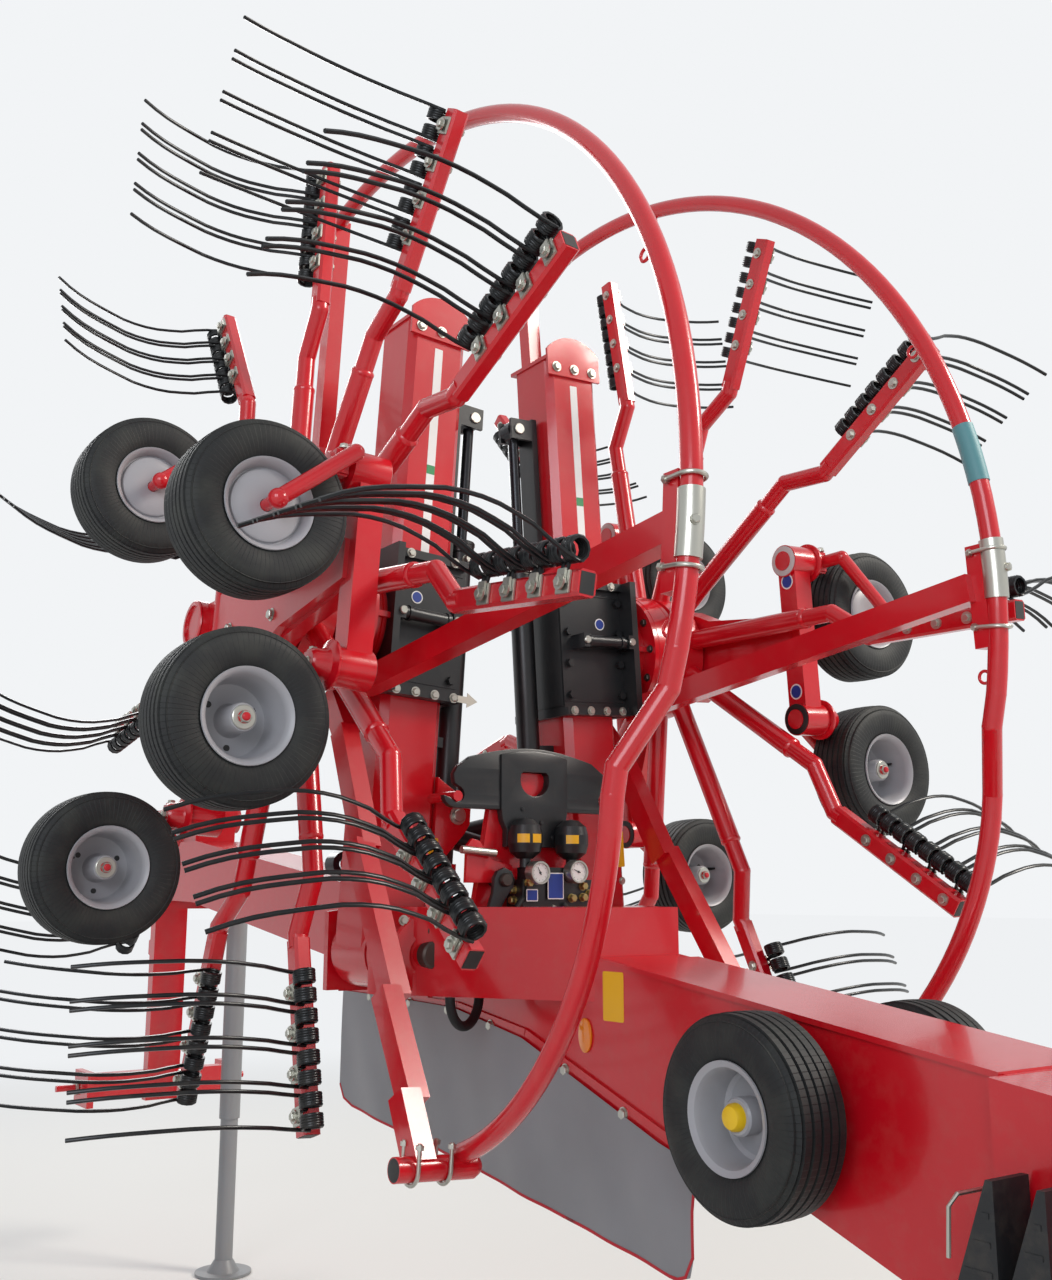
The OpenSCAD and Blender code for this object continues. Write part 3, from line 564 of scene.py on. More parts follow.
def wheel_place(node, axis):
    """The centre of a wheel's node and the turn that lays its axis along the given direction."""
    low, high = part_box(node)
    centre = (Vector(low) + Vector(high)) / 2
    out = Vector(axis).normalized()
    helper = Vector((0, 0, 1))
    turn = Matrix((out, helper.cross(out).normalized(), out.cross(helper.cross(out)).normalized())).transposed()
    return Matrix.Translation(centre) @ turn.to_4x4()


dress(["transport_axle"], red_paint)
ROAD_R, ROAD_W, ROAD_RIM = 0.380, 0.260, 0.195
for side, out in (("left", -1), ("right", 1)):
    hub = wheel_place(f"axle_wheel_{side}", (out, 0, 0))
    casing = bmesh.new()
    tyre(casing, ROAD_R, ROAD_W, ROAD_RIM, 6, hub, groove=0.009)
    finish(casing, f"road_tyre_{side}", f"axle_wheel_{side}", tyre_rubber)
    dish = bmesh.new()
    turned(dish, [(0.031, -0.030), (0.075, -0.030), (0.120, -0.052), (0.150, -0.048), (0.165, -0.066), (0.172, -0.104),
                  (0.190, -0.122), (0.205, -0.126), (0.207, -0.120), (0.196, -0.112), (0.1955, 0.108), (0.207, 0.119),
                  (0.205, 0.125), (0.186, 0.121), (0.172, 0.104), (0.168, 0.020), (0.150, -0.036), (0.120, -0.040),
                  (0.090, -0.006), (0.085, 0.004), (0.058, 0.006), (0.054, 0.060), (0.040, 0.068), (0.031, 0.070)],
           72, hub, ring=True)
    road_rim = finish(dish, f"road_rim_{side}", f"axle_wheel_{side}", rim_grey)
    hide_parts(f"axle_wheel_{side}")
    bolt_row(f"road_wheel_nuts_{side}",
             [((0.006, 0.071 * math.cos(math.tau * k / 6), 0.071 * math.sin(math.tau * k / 6)), (1, 0, 0))
              for k in range(6)], f"axle_wheel_{side}", across=0.027, height=0.022, washer_radius=0.0165, place=hub)
    cap = bmesh.new()
    turned(cap, [(0.0, 0.094), (0.018, 0.093), (0.029, 0.086), (0.033, 0.074), (0.034, 0.052), (0.0, 0.052)], 32, hub)
    finish(cap, f"road_hub_cap_{side}", f"axle_wheel_{side}", zinc_plate)


# ---- Beam wheels: two small rubber wheels on stub axles beside the beam's tail, which guide
# the rotor frames down. Ribbed tyres, pale rims, a yellow plastic cap on each hub.
dress(["beam_stub_axles"], red_paint)
yellow_plastic = dusty_gloss("yellow_plastic", "EFC51A", "E3B813", 0.35, dust_amount=0.10, peel=0.02)
BEAM_R, BEAM_W, BEAM_RIM = 0.202, 0.150, 0.102
for side, out in (("left", -1), ("right", 1)):
    hub = wheel_place(f"beam_wheel_{side}", (out, 0, 0))
    casing = bmesh.new()
    tyre(casing, BEAM_R, BEAM_W, BEAM_RIM, 5, hub)
    finish(casing, f"beam_tyre_{side}", f"beam_wheel_{side}", tyre_rubber)
    dish = bmesh.new()
    turned(dish, [(0.016, -0.030), (0.050, -0.030), (0.086, -0.052), (0.096, -0.064), (0.110, -0.070), (0.1105, -0.066),
                  (0.1030, -0.058), (0.1030, 0.058), (0.1105, 0.066), (0.110, 0.070), (0.097, 0.064), (0.091, 0.052),
                  (0.088, -0.012), (0.080, -0.020), (0.046, -0.012), (0.038, -0.004), (0.038, 0.034), (0.034, 0.039),
                  (0.016, 0.040)], 64, hub, ring=True)
    beam_rim = finish(dish, f"beam_rim_{side}", f"beam_wheel_{side}", rim_grey)
    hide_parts(f"beam_wheel_{side}")
    cap = bmesh.new()
    turned(cap, [(0.0, 0.062), (0.012, 0.0615), (0.022, 0.058), (0.027, 0.050), (0.028, 0.036), (0.0, 0.036)], 32, hub)
    finish(cap, f"beam_hub_cap_{side}", f"beam_wheel_{side}", yellow_plastic)


# ---- Chock holder: a black steel tray on the beam's tail with two folded black wheel chocks.
# The plastic wedges stand on edge, side by side, and a wire keeps them in.
chock_plastic = dusty_gloss("chock_plastic", "17181A", "222426", 0.55, dust_amount=0.14, peel=0.15)
dress(["chock_holder"], chock_plastic)


def tube(build, path, radius, sides=12, place=Matrix()):
    """A round bar or hose along a path, its ends closed; radius is one number or one a point."""
    path = [Vector(p) for p in path]
    radii = radius if isinstance(radius, (list, tuple)) else [radius] * len(path)
    tangent = (path[1] - path[0]).normalized()
    normal = tangent.orthogonal().normalized()
    rows = []
    for i, point in enumerate(path):
        ahead = (path[min(i + 1, len(path) - 1)] - path[max(i - 1, 0)]).normalized()
        normal = (normal - ahead * normal.dot(ahead)).normalized()
        other = ahead.cross(normal)
        rows.append([build.verts.new(place @ (point + radii[i] * (normal * math.cos(math.tau * k / sides)
                                                                   + other * math.sin(math.tau * k / sides))))
                     for k in range(sides)])
    for low, high in zip(rows, rows[1:]):
        for k in range(sides):
            build.faces.new([low[k], low[(k + 1) % sides], high[(k + 1) % sides], high[k]])
    build.faces.new(rows[0][::-1])
    build.faces.new(rows[-1])


chock_wire = bmesh.new()
tube(chock_wire, [(-0.318, -1.862, 1.02), (-0.318, -1.868, 1.10), (-0.300, -1.872, 1.118), (-0.222, -1.872, 1.118),
                  (-0.204, -1.868, 1.10), (-0.204, -1.862, 1.00)], 0.004, 8)
finish(chock_wire, "chock_wire", "frame", zinc_plate)
chock_ribs = bmesh.new()
for chock_y in (-1.905, -2.000):
    for k in range(3):
        rib_low = 1.000 + 0.045 * k
        add_block(chock_ribs, (-0.3055, chock_y - 0.030, rib_low),
                  (-0.303, chock_y + 0.024 - 0.02 * k, 1.010 + 0.045 * k), ease=0.001)
finish(chock_ribs, "chock_ribs", "frame", chock_plastic)


# ---- Curtain: a sheet of grey coated cloth that hangs from a red rail on the beam's left side.
# It is bolted along its top edge, hangs in soft slanting folds and has a narrow red hem.
dress(["curtain_rail"], red_paint)
cloth, cloth_nodes, cloth_links, cloth_shader = new_material("curtain_cloth")
cloth_place = cloth_nodes.new("ShaderNodeTexCoord")
cloth_tone = cloth_nodes.new("ShaderNodeTexNoise")
cloth_tone.inputs["Scale"].default_value = 5.0
cloth_tone.inputs["Detail"].default_value = 6.0
cloth_links.new(cloth_place.outputs["Object"], cloth_tone.inputs["Vector"])
cloth_mix = cloth_nodes.new("ShaderNodeMix")
cloth_mix.data_type = "RGBA"
cloth_mix.inputs[6].default_value = linear("8B8B8E")
cloth_mix.inputs[7].default_value = linear("77777A")
cloth_links.new(cloth_tone.outputs["Fac"], cloth_mix.inputs[0])
cloth_links.new(cloth_mix.outputs[2], cloth_shader.inputs["Base Color"])
cloth_shader.inputs["Roughness"].default_value = 0.46
cloth_shader.inputs["Sheen Weight"].default_value = 0.15
cloth_weave = cloth_nodes.new("ShaderNodeTexWave")
cloth_weave.inputs["Scale"].default_value = 260.0
cloth_weave.bands_direction = "Y"
cloth_weft = cloth_nodes.new("ShaderNodeTexWave")
cloth_weft.inputs["Scale"].default_value = 260.0
cloth_weft.bands_direction = "Z"
cloth_cross = cloth_nodes.new("ShaderNodeMath")
cloth_cross.operation = "MULTIPLY"
cloth_bump = cloth_nodes.new("ShaderNodeBump")
cloth_bump.inputs["Strength"].default_value = 0.12
cloth_bump.inputs["Distance"].default_value = 0.001
for thread in (cloth_weave, cloth_weft):
    cloth_links.new(cloth_place.outputs["Object"], thread.inputs["Vector"])
cloth_links.new(cloth_weave.outputs["Fac"], cloth_cross.inputs[0])
cloth_links.new(cloth_weft.outputs["Fac"], cloth_cross.inputs[1])
cloth_links.new(cloth_cross.outputs[0], cloth_bump.inputs["Height"])
cloth_links.new(cloth_bump.outputs[0], cloth_shader.inputs["Normal"])

CURTAIN_TOP = [(0.630, 1.300), (0.300, 1.298), (-0.060, 1.290), (-0.400, 1.235), (-0.950, 1.050), (-1.065, 1.022)]
CURTAIN_FOOT = [(0.630, 1.010), (0.600, 0.965), (0.540, 0.945), (0.100, 0.905), (-0.400, 0.850), (-1.010, 0.772),
                (-1.060, 0.790), (-1.080, 0.850)]


def line_at(line, y):
    """The height of a sloping edge at y, from its corners."""
    for (y0, z0), (y1, z1) in zip(line, line[1:]):
        if (y0 - y) * (y1 - y) <= 0 and y0 != y1:
            return z0 + (z1 - z0) * (y - y0) / (y1 - y0)
    return line[0][1] if abs(y - line[0][0]) < abs(y - line[-1][0]) else line[-1][1]


curtain_columns, curtain_rows = 120, 22
curtain_sheet = bmesh.new()
curtain_grid = []
for i in range(curtain_columns + 1):
    y = 0.628 - (0.628 + 1.074) * i / curtain_columns
    top, foot = line_at(CURTAIN_TOP, max(y, -1.065)), line_at(CURTAIN_FOOT, y)
    row = []
    for j in range(curtain_rows + 1):
        fall = j / curtain_rows
        z = top + (foot - top) * fall
        slant = y + 0.55 * (top - z)
        ripple = (math.sin(slant * 9.0 + 0.7) + 0.6 * math.sin(slant * 17.0 + 2.1)
                  + 0.35 * math.sin(slant * 31.0 + z * 6.0)) * 0.0040 * min(1.0, fall * 1.9)
        row.append((-0.1560 - 0.0075 * min(1.0, fall * 2.0) + ripple, y, z))
    curtain_grid.append(row)
for i in range(curtain_columns):
    for j in range(curtain_rows):
        corners = [curtain_grid[i][j], curtain_grid[i + 1][j], curtain_grid[i + 1][j + 1], curtain_grid[i][j + 1]]
        add_part(curtain_sheet, corners, [(0, 1, 2, 3)])
curtain = finish(curtain_sheet, "curtain_cloth", "frame", cloth, angle=80)
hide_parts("curtain")
hem_build = bmesh.new()
hem_path = [curtain_grid[i][curtain_rows] for i in range(0, curtain_columns + 1, 2)]
hem_path += [curtain_grid[curtain_columns][j] for j in range(curtain_rows - 1, -1, -2)]
for k, place in enumerate(hem_path[:-1]):
    nxt = hem_path[k + 1]
    along = (Vector(nxt) - Vector(place)).normalized()
    inward = Vector((1, 0, 0)).cross(along).normalized() * 0.007
    if inward.z < 0 and k < curtain_columns // 2:
        inward = -inward
    if k >= curtain_columns // 2:
        inward = Vector((0, 0.007, 0))
    out = Vector((-0.0012, 0, 0))
    base = [Vector(place), Vector(nxt), Vector(nxt) + inward, Vector(place) + inward]
    add_part(hem_build, [p + out for p in base] + [p - out for p in base],
             [(0, 1, 2, 3), (7, 6, 5, 4), (0, 4, 5, 1), (1, 5, 6, 2), (2, 6, 7, 3), (3, 7, 4, 0)])
hem_red = dusty_gloss("hem_red", "C4182A", "B01224", 0.6, peel=0.2, scale=30.0)
hem = finish(hem_build, "curtain_hem", "frame", hem_red)


# ---- Pivot head: the red cross piece on the beam with the two fold pins. A pin is ground steel
# in a welded boss; the left one is kept by a round cap and a split pin, the right by a pale cap.
dress(["pivot_head", "lift_pins"], red_paint)
pale_steel = dusty_gloss("pale_steel", "D3CFC2", "B8B4A8", 0.38, metallic=0.6, dust_amount=0.05)
dark_steel = dusty_gloss("dark_steel", "3A3634", "574E48", 0.42, metallic=0.7, dust_amount=0.14)
AWAY = Matrix.Rotation(math.radians(-90), 4, "Z")
boss_rings = bmesh.new()
for pin_x in (-0.370, 0.370):
    spot = Matrix.Translation((pin_x, -0.250, 1.450)) @ AWAY
    turned(boss_rings, [(0.050, -0.004), (0.098, -0.004), (0.104, 0.001), (0.098, 0.006), (0.060, 0.006),
                        (0.054, 0.010), (0.050, 0.010)], 48, spot, ring=True)
finish(boss_rings, "pivot_bosses", "frame", red_paint)
pin_heads = bmesh.new()
turned(pin_heads, [(0.0, 0.034), (0.030, 0.034), (0.036, 0.029), (0.037, -0.004), (0.0, -0.004)], 40,
       Matrix.Translation((-0.370, -0.274, 1.450)) @ AWAY)
tube(pin_heads, [(-0.370, -0.292, 1.502), (-0.370, -0.292, 1.398)], 0.0042, 8)
tube(pin_heads, [(-0.370 + 0.011 * math.sin(a), -0.292, 1.512 + 0.011 * math.cos(a)) for a in
                 [math.radians(k) for k in range(180, 541, 30)]], 0.0028, 8)
tube(pin_heads, [(-0.370, -0.292, 1.402), (-0.362, -0.292, 1.384), (-0.352, -0.292, 1.380)], 0.0026, 8)
finish(pin_heads, "pivot_pin_left", "frame", dark_steel)
pin_cap = bmesh.new()
turned(pin_cap, [(0.0, 0.022), (0.034, 0.020), (0.042, 0.013), (0.044, -0.004), (0.0, -0.004)], 40,
       Matrix.Translation((0.370, -0.274, 1.450)) @ AWAY)
finish(pin_cap, "pivot_pin_right", "frame", pale_steel)
bolt_row("pivot_head_bolts", [((x, -0.251, z), (0, -1, 0)) for x, z in
                              ((-0.435, 1.372), (0.435, 1.372), (-0.435, 1.540), (0.435, 1.540))], "frame",
         across=0.019, height=0.009, washer_radius=0.014)


# ---- Lock plate: a black folded plate that holds both arms up. Two open hooks catch the pins on
# the arms; the middle is doubled by a deeper panel with a D-shaped hand hole.
LOCK_FACE = Matrix.Translation((0, -0.227, 0)) @ Matrix.Rotation(math.radians(90), 4, "X")
lock_build = bmesh.new()


def hook_outline():
    """The plate's outline in x and z: arched top, two throats open outwards, notched foot."""
    outline = [(-0.110, 1.846), (-0.262, 1.846)]
    outline += [(-0.268 + 0.038 * math.cos(a), 1.884 + 0.038 * math.sin(a)) for a in
                [math.radians(d) for d in (262, 240, 218, 200, 186)]]
    outline += [(-0.2865, 1.875), (-0.264, 1.861)]
    outline += [(-0.262 + 0.0235 * math.cos(a), 1.884 + 0.0235 * math.sin(a)) for a in
                [math.radians(d) for d in (-60, -30, 0, 30, 60, 80)]]
    outline += [(-0.270, 1.915), (-0.274, 1.940), (-0.262, 1.962)]
    outline += [(-0.250 + 0.5 * k / 14, 1.985 + 0.042 * math.sin(math.pi * k / 14)) for k in range(1, 14)]
    right = [(-x, z) for x, z in outline[:outline.index((-0.262, 1.962)) + 1]]
    return outline + right[::-1]


hand_hole = [(0.050 * math.cos(math.radians(d)), 1.934 + 0.046 * math.sin(math.radians(d))) for d in
             range(180, 361, 15)] + [(0.048, 1.950), (0.040, 1.957), (-0.040, 1.957), (-0.048, 1.950)]
cut_plate(lock_build, [hook_outline(), hand_hole], -0.011, 0.011, LOCK_FACE, ease=0.002)
lock_face = finish(lock_build, "lock_hooks", "frame", black_paint)
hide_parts("lock_plate")
lock_panel = bmesh.new()
panel = [(-0.098, 1.742), (-0.098, 1.790), (-0.112, 1.815), (-0.118, 1.850), (-0.118, 2.004), (-0.060, 2.016),
         (0.0, 2.020), (0.060, 2.016), (0.118, 2.004), (0.118, 1.850), (0.112, 1.815), (0.098, 1.790),
         (0.098, 1.742)]
cut_plate(lock_panel, [panel, hand_hole], -0.010, 0.018, LOCK_FACE, ease=0.004)
finish(lock_panel, "lock_panel", "frame", black_paint)
bolt_row("lock_panel_bolts", [((x, -0.2455, z), (0, -1, 0)) for x, z in
                              ((-0.045, 1.850), (-0.040, 1.812), (0.022, 1.812), (0.060, 1.770), (-0.060, 1.770))],
         "frame", across=0.010, height=0.004, washer_radius=0.007, material=black_paint)


# ---- Hydraulic block: a black valve block on the tower with two dials, two blank blue plates,
# brass-yellow fittings and two round black accumulators with blank yellow labels.
dress(["hydraulic_block"], black_paint)
dress(["accumulators"], black_paint)
blue_vinyl = dusty_gloss("blue_vinyl", "1F3F9A", "1A3788", 0.36, dust_amount=0.04, peel=0.0)
white_vinyl = dusty_gloss("white_vinyl", "ECECEA", "E0E0DD", 0.42, dust_amount=0.05, peel=0.0)
dial_white = dusty_gloss("dial_white", "E9E9E4", "DEDED8", 0.22, dust_amount=0.02, peel=0.0, coat=0.5)
DIALS = [(-0.040, 1.668), (0.095, 1.672)]
bezels, faces, needles = bmesh.new(), bmesh.new(), bmesh.new()
for k, (dial_x, dial_z) in enumerate(DIALS):
    spot = Matrix.Translation((dial_x, -0.322, dial_z)) @ AWAY
    turned(bezels, [(0.0, -0.030), (0.030, -0.030), (0.033, -0.026), (0.033, 0.004), (0.0315, 0.008), (0.0275, 0.008),
                    (0.0265, 0.004), (0.0265, 0.0), (0.0, 0.0)], 40, spot)
    turned(faces, [(0.0262, 0.001), (0.0262, 0.0025), (0.0, 0.003)], 40, spot)
    slope = math.radians(118 + 40 * k)
    tip = Vector((dial_x + 0.019 * math.cos(slope), -0.3265, dial_z + 0.019 * math.sin(slope)))
    tail = Vector((dial_x - 0.006 * math.cos(slope), -0.3265, dial_z - 0.006 * math.sin(slope)))
    tube(needles, [tail, tip], [0.0016, 0.0006], 6)
    turned(needles, [(0.0, 0.006), (0.003, 0.0055), (0.0034, 0.003), (0.0, 0.003)], 16, spot)
finish(bezels, "dial_bezels", "frame", zinc_plate)
finish(faces, "dial_faces", "frame", dial_white)
finish(needles, "dial_needles", "frame", black_paint)

# the ticks of the two dials, set round a circle by a tree
tick_tree = bpy.data.node_groups.new("dial_ticks", "GeometryNodeTree")
tick_in = sockets(tick_tree, {"Ticks": 11, "Circle": 0.0215, "Tick Length": 0.0035, "Material": None})
tick_ring = tick_tree.nodes.new("GeometryNodeMeshCircle")
tick_tree.links.new(tick_in["Ticks"], tick_ring.inputs["Vertices"])
tick_tree.links.new(tick_in["Circle"], tick_ring.inputs["Radius"])
tick_bar = tick_tree.nodes.new("GeometryNodeMeshCube")
tick_size = tick_tree.nodes.new("ShaderNodeCombineXYZ")
tick_size.inputs["Y"].default_value = 0.0006
tick_size.inputs["Z"].default_value = 0.0006
tick_tree.links.new(tick_in["Tick Length"], tick_size.inputs["X"])
tick_tree.links.new(tick_size.outputs[0], tick_bar.inputs["Size"])
tick_place = tick_tree.nodes.new("GeometryNodeInputPosition")
tick_turn = tick_tree.nodes.new("FunctionNodeAlignRotationToVector")
tick_turn.axis = "X"
tick_tree.links.new(tick_place.outputs[0], tick_turn.inputs["Vector"])
tick_spots = tick_tree.nodes.new("GeometryNodeInstanceOnPoints")
tick_tree.links.new(tick_ring.outputs[0], tick_spots.inputs["Points"])
tick_tree.links.new(tick_bar.outputs[0], tick_spots.inputs["Instance"])
tick_tree.links.new(tick_turn.outputs[0], tick_spots.inputs["Rotation"])
close_tree(tick_tree, tick_spots.outputs[0], tick_in["Material"])
for k, (dial_x, dial_z) in enumerate(DIALS):
    ticks_mesh = grow(tick_tree, f"dial_ticks_{k + 1}", bpy.data.meshes.new("no_seed"),
                      {"Ticks": 11, "Circle": 0.0215, "Tick Length": 0.0035, "Material": black_paint})
    ticks_mesh.transform(facing((dial_x, -0.3252, dial_z), (1, 0, 0), (0, 0, 1)))
    ticks = bpy.data.objects.new(f"dial_ticks_{k + 1}", ticks_mesh)
    bpy.context.scene.collection.objects.link(ticks)
    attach(ticks, "frame")

PLATES = [(0.030, 1.632, 0.056, 0.074), (-0.052, 1.606, 0.040, 0.034)]
plate_edges, plate_faces = bmesh.new(), bmesh.new()
for plate_x, plate_z, wide, high in PLATES:
    spot = facing((plate_x, -0.3022, plate_z), (1, 0, 0), (0, 0, 1))
    cut_plate(plate_edges, [round_corners(wide, high, 0.003)], 0.0, 0.0008, spot)
    cut_plate(plate_faces, [round_corners(wide - 0.006, high - 0.006, 0.002)], 0.0008, 0.0012, spot)
finish(plate_edges, "valve_plate_edges", "frame", white_vinyl)
finish(plate_faces, "valve_plates", "frame", blue_vinyl)

fittings = [((x, -0.297, z), (0, -1, 0)) for x, z in
            ((-0.062, 1.640), (-0.060, 1.664), (0.130, 1.600), (0.130, 1.632), (0.152, 1.610), (0.090, 1.598))]
fittings += [((-0.081, -0.256, z), (-1, 0, 0)) for z in (1.592, 1.622)]
bolt_row("valve_fittings", fittings, "frame", across=0.020, height=0.016, washer_radius=0.0125, material=zinc_yellow)
LABEL_R, LABEL_FOOT, LABEL_TOP = 0.0507, 1.7520, 1.7765
label_build = bmesh.new()
for ball_x, start, wide in ((-0.052, -28, 0.036), (-0.052, 22, 0.034), (0.112, -20, 0.038)):
    middle = math.radians(-90 + start - 12)
    half = wide / 2 / 0.0508
    bends = [middle + half * (2 * i / 8 - 1) for i in range(9)]
    grid = [[(ball_x + LABEL_R * math.cos(bend), -0.268 + LABEL_R * math.sin(bend), z) for bend in bends]
            for z in (LABEL_FOOT, LABEL_TOP)]
    for i in range(8):
        add_part(label_build, [grid[0][i], grid[0][i + 1], grid[1][i + 1], grid[1][i]], [(0, 1, 2, 3)])
finish(label_build, "accumulator_labels", "frame", yellow_vinyl)

lever = bmesh.new()
lever_face = Matrix.Translation((0, -0.276, 0)) @ Matrix.Rotation(math.radians(90), 4, "X")
lever_line = [(-0.166, 1.652), (-0.156, 1.672), (-0.132, 1.682), (-0.108, 1.672), (-0.098, 1.650), (-0.102, 1.628),
              (-0.126, 1.600), (-0.150, 1.560), (-0.166, 1.510), (-0.196, 1.512), (-0.186, 1.566), (-0.170, 1.612)]
cut_plate(lever, [lever_line], -0.008, 0.008, lever_face, ease=0.002)
finish(lever, "latch_lever", "frame", black_paint)
lever_pins = bmesh.new()
turned(lever_pins, [(0.0, 0.016), (0.016, 0.015), (0.019, 0.010), (0.019, -0.06), (0.0, -0.06)], 28,
       Matrix.Translation((-0.132, -0.284, 1.648)) @ AWAY)
finish(lever_pins, "latch_pin", "frame", dark_steel)
ear = bmesh.new()
ear_line = [(-0.236, 1.640), (-0.232, 1.742), (-0.214, 1.762), (-0.190, 1.756), (-0.150, 1.706), (-0.080, 1.690),
            (-0.062, 1.640)]
cut_plate(ear, [ear_line], -0.008, 0.006,
          Matrix.Translation((0, -0.238, 0)) @ Matrix.Rotation(math.radians(90), 4, "X"), ease=0.002)
finish(ear, "latch_ear", "frame", red_paint)
ear_pin = bmesh.new()
tube(ear_pin, [(-0.150, -0.262, 1.722), (-0.262, -0.262, 1.730)], 0.011, 16)
finish(ear_pin, "latch_cross_pin", "frame", zinc_plate)

hose_rubber = rubber("hose_rubber", "101112", "1B1C1D", 0.0)
hoses = bmesh.new()


def bent_path(corners):
    """A smooth line through corners, as a hose takes it, with seven steps between them."""
    steps = 7
    corners = [Vector(c) for c in corners]
    line = []
    ends = [corners[0] * 2 - corners[1]] + corners + [corners[-1] * 2 - corners[-2]]
    for i in range(1, len(ends) - 2):
        p0, p1, p2, p3 = ends[i - 1:i + 3]
        for k in range(steps):
            t = k / steps
            line.append(0.5 * ((2 * p1) + (p2 - p0) * t + (2 * p0 - 5 * p1 + 4 * p2 - p3) * t * t
                               + (3 * p1 - p0 - 3 * p2 + p3) * t ** 3))
    return line + [corners[-1]]


HOSES = [[(0.155, -0.290, 1.615), (0.200, -0.300, 1.590), (0.245, -0.280, 1.560), (0.255, -0.240, 1.530)],
         [(-0.075, -0.290, 1.600), (-0.110, -0.310, 1.570), (-0.120, -0.300, 1.530), (-0.105, -0.262, 1.500)],
         [(0.060, -0.300, 1.580), (0.080, -0.318, 1.556), (0.150, -0.318, 1.545), (0.230, -0.290, 1.550),
          (0.270, -0.240, 1.545)]]
for hose_line in HOSES:
    tube(hoses, bent_path(hose_line), 0.0085, 12)
finish(hoses, "valve_hoses", "frame", hose_rubber)
pipe = bmesh.new()
tube(pipe, bent_path([(0.020, -0.298, 1.575), (0.060, -0.306, 1.562), (0.160, -0.304, 1.566), (0.210, -0.292, 1.574),
                      (0.262, -0.250, 1.572)]), 0.006, 10)
finish(pipe, "valve_pipe", "frame", zinc_plate)


# ---- Fold arms: square tubes with wide chamfers, hinged at the foot and closed by an arched cap.
# Red paint; zinc bolts through the cap, a lug with a steel pin on the inner side, blank labels
# and a pale scale strip down the near face with one green mark.
def arm_place(side):
    """From a fold arm's own frame (outboard, along Y, up the arm) to the machine's."""
    right = Matrix.Translation((0.370, 0, 1.450)) @ Matrix.Rotation(math.radians(-3.5), 4, "Y")
    return right if side == "right" else Matrix.Scale(-1, 4, (1, 0, 0)) @ right


green_vinyl = dusty_gloss("green_vinyl", "1E8A4C", "1A7C44", 0.4, dust_amount=0.04, peel=0.0)
ARM_LABELS = {"left": [(-0.086, 0.268, 0.050, 0.112), (0.020, 0.058, 0.034, 0.054)],
              "right": [(0.070, 0.296, 0.050, 0.112)]}
STRIP_TOP, STRIP_FOOT, STRIP_WIDE, STRIP_MARK = 1.815, 1.160, 0.028, 1.420
for side in ("left", "right"):
    frame_of_arm = arm_place(side)
    dress([f"fold_arm_{side}", f"lift_lug_{side}"], red_paint)
    face_out = Matrix(((1, 0, 0, 0), (0, 0, -1, -0.100), (0, 1, 0, 0), (0, 0, 0, 1)))
    labels = bmesh.new()
    for across, up, wide, high in ARM_LABELS[side]:
        cut_plate(labels, [[(across + x, up + y) for x, y in round_corners(wide, high, 0.004)]], 0.0, 0.0006,
                  frame_of_arm @ face_out)
    finish(labels, f"arm_labels_{side}", f"arm_{side}", yellow_vinyl)
    strip = bmesh.new()
    strip_line = [(x, (STRIP_TOP + STRIP_FOOT) / 2 + y) for x, y in
                  round_corners(STRIP_WIDE, STRIP_TOP - STRIP_FOOT, 0.002, 1)]
    cut_plate(strip, [strip_line], 0.0, 0.0005, frame_of_arm @ face_out)
    finish(strip, f"scale_strip_{side}", f"arm_{side}", white_vinyl)
    marks = bmesh.new()
    cut_plate(marks, [[(x, STRIP_MARK + y) for x, y in round_corners(STRIP_WIDE, 0.028, 0.001, 1)]], 0.0005, 0.0009,
              frame_of_arm @ face_out)
    finish(marks, f"scale_marks_{side}", f"arm_{side}", green_vinyl)
    lug = bmesh.new()
    lug_line = [(-0.098, 0.500), (-0.150, 0.470), (-0.200, 0.445), (-0.216, 0.420), (-0.216, 0.375), (-0.200, 0.345),
                (-0.098, 0.225)]
    cut_plate(lug, [lug_line], -0.004, 0.016, frame_of_arm @ face_out @ Matrix.Translation((0, 0, -0.016)), ease=0.002)
    finish(lug, f"arm_lug_{side}", f"arm_{side}", red_paint)
    lug_pin = bmesh.new()
    turned(lug_pin, [(0.0, 0.012), (0.016, 0.012), (0.018, 0.010), (0.0185, 0.004), (0.026, 0.004), (0.027, 0.002),
                     (0.027, -0.004), (0.0, -0.004)], 32,
           frame_of_arm @ Matrix.Translation((-0.172, -0.100, 0.395)) @ AWAY)
    finish(lug_pin, f"arm_lug_pin_{side}", f"arm_{side}", zinc_plate)
    bolt_row(f"arm_cap_bolts_{side}", [((u, -0.111, 1.868), (0, -1, 0)) for u in (-0.072, 0.0, 0.072)],
             f"arm_{side}", across=0.022, height=0.010, washer_radius=0.0175, place=frame_of_arm)
    low_bolts = {"left": [(-0.081, 0.062), (0.060, 0.150)], "right": [(0.080, 0.197), (0.080, 0.107), (-0.030, 0.060)]}
    bolt_row(f"arm_foot_bolts_{side}", [((u, -0.1005, s), (0, -1, 0)) for u, s in low_bolts[side]], f"arm_{side}",
             across=0.016, height=0.006, washer_radius=0.012, place=frame_of_arm)


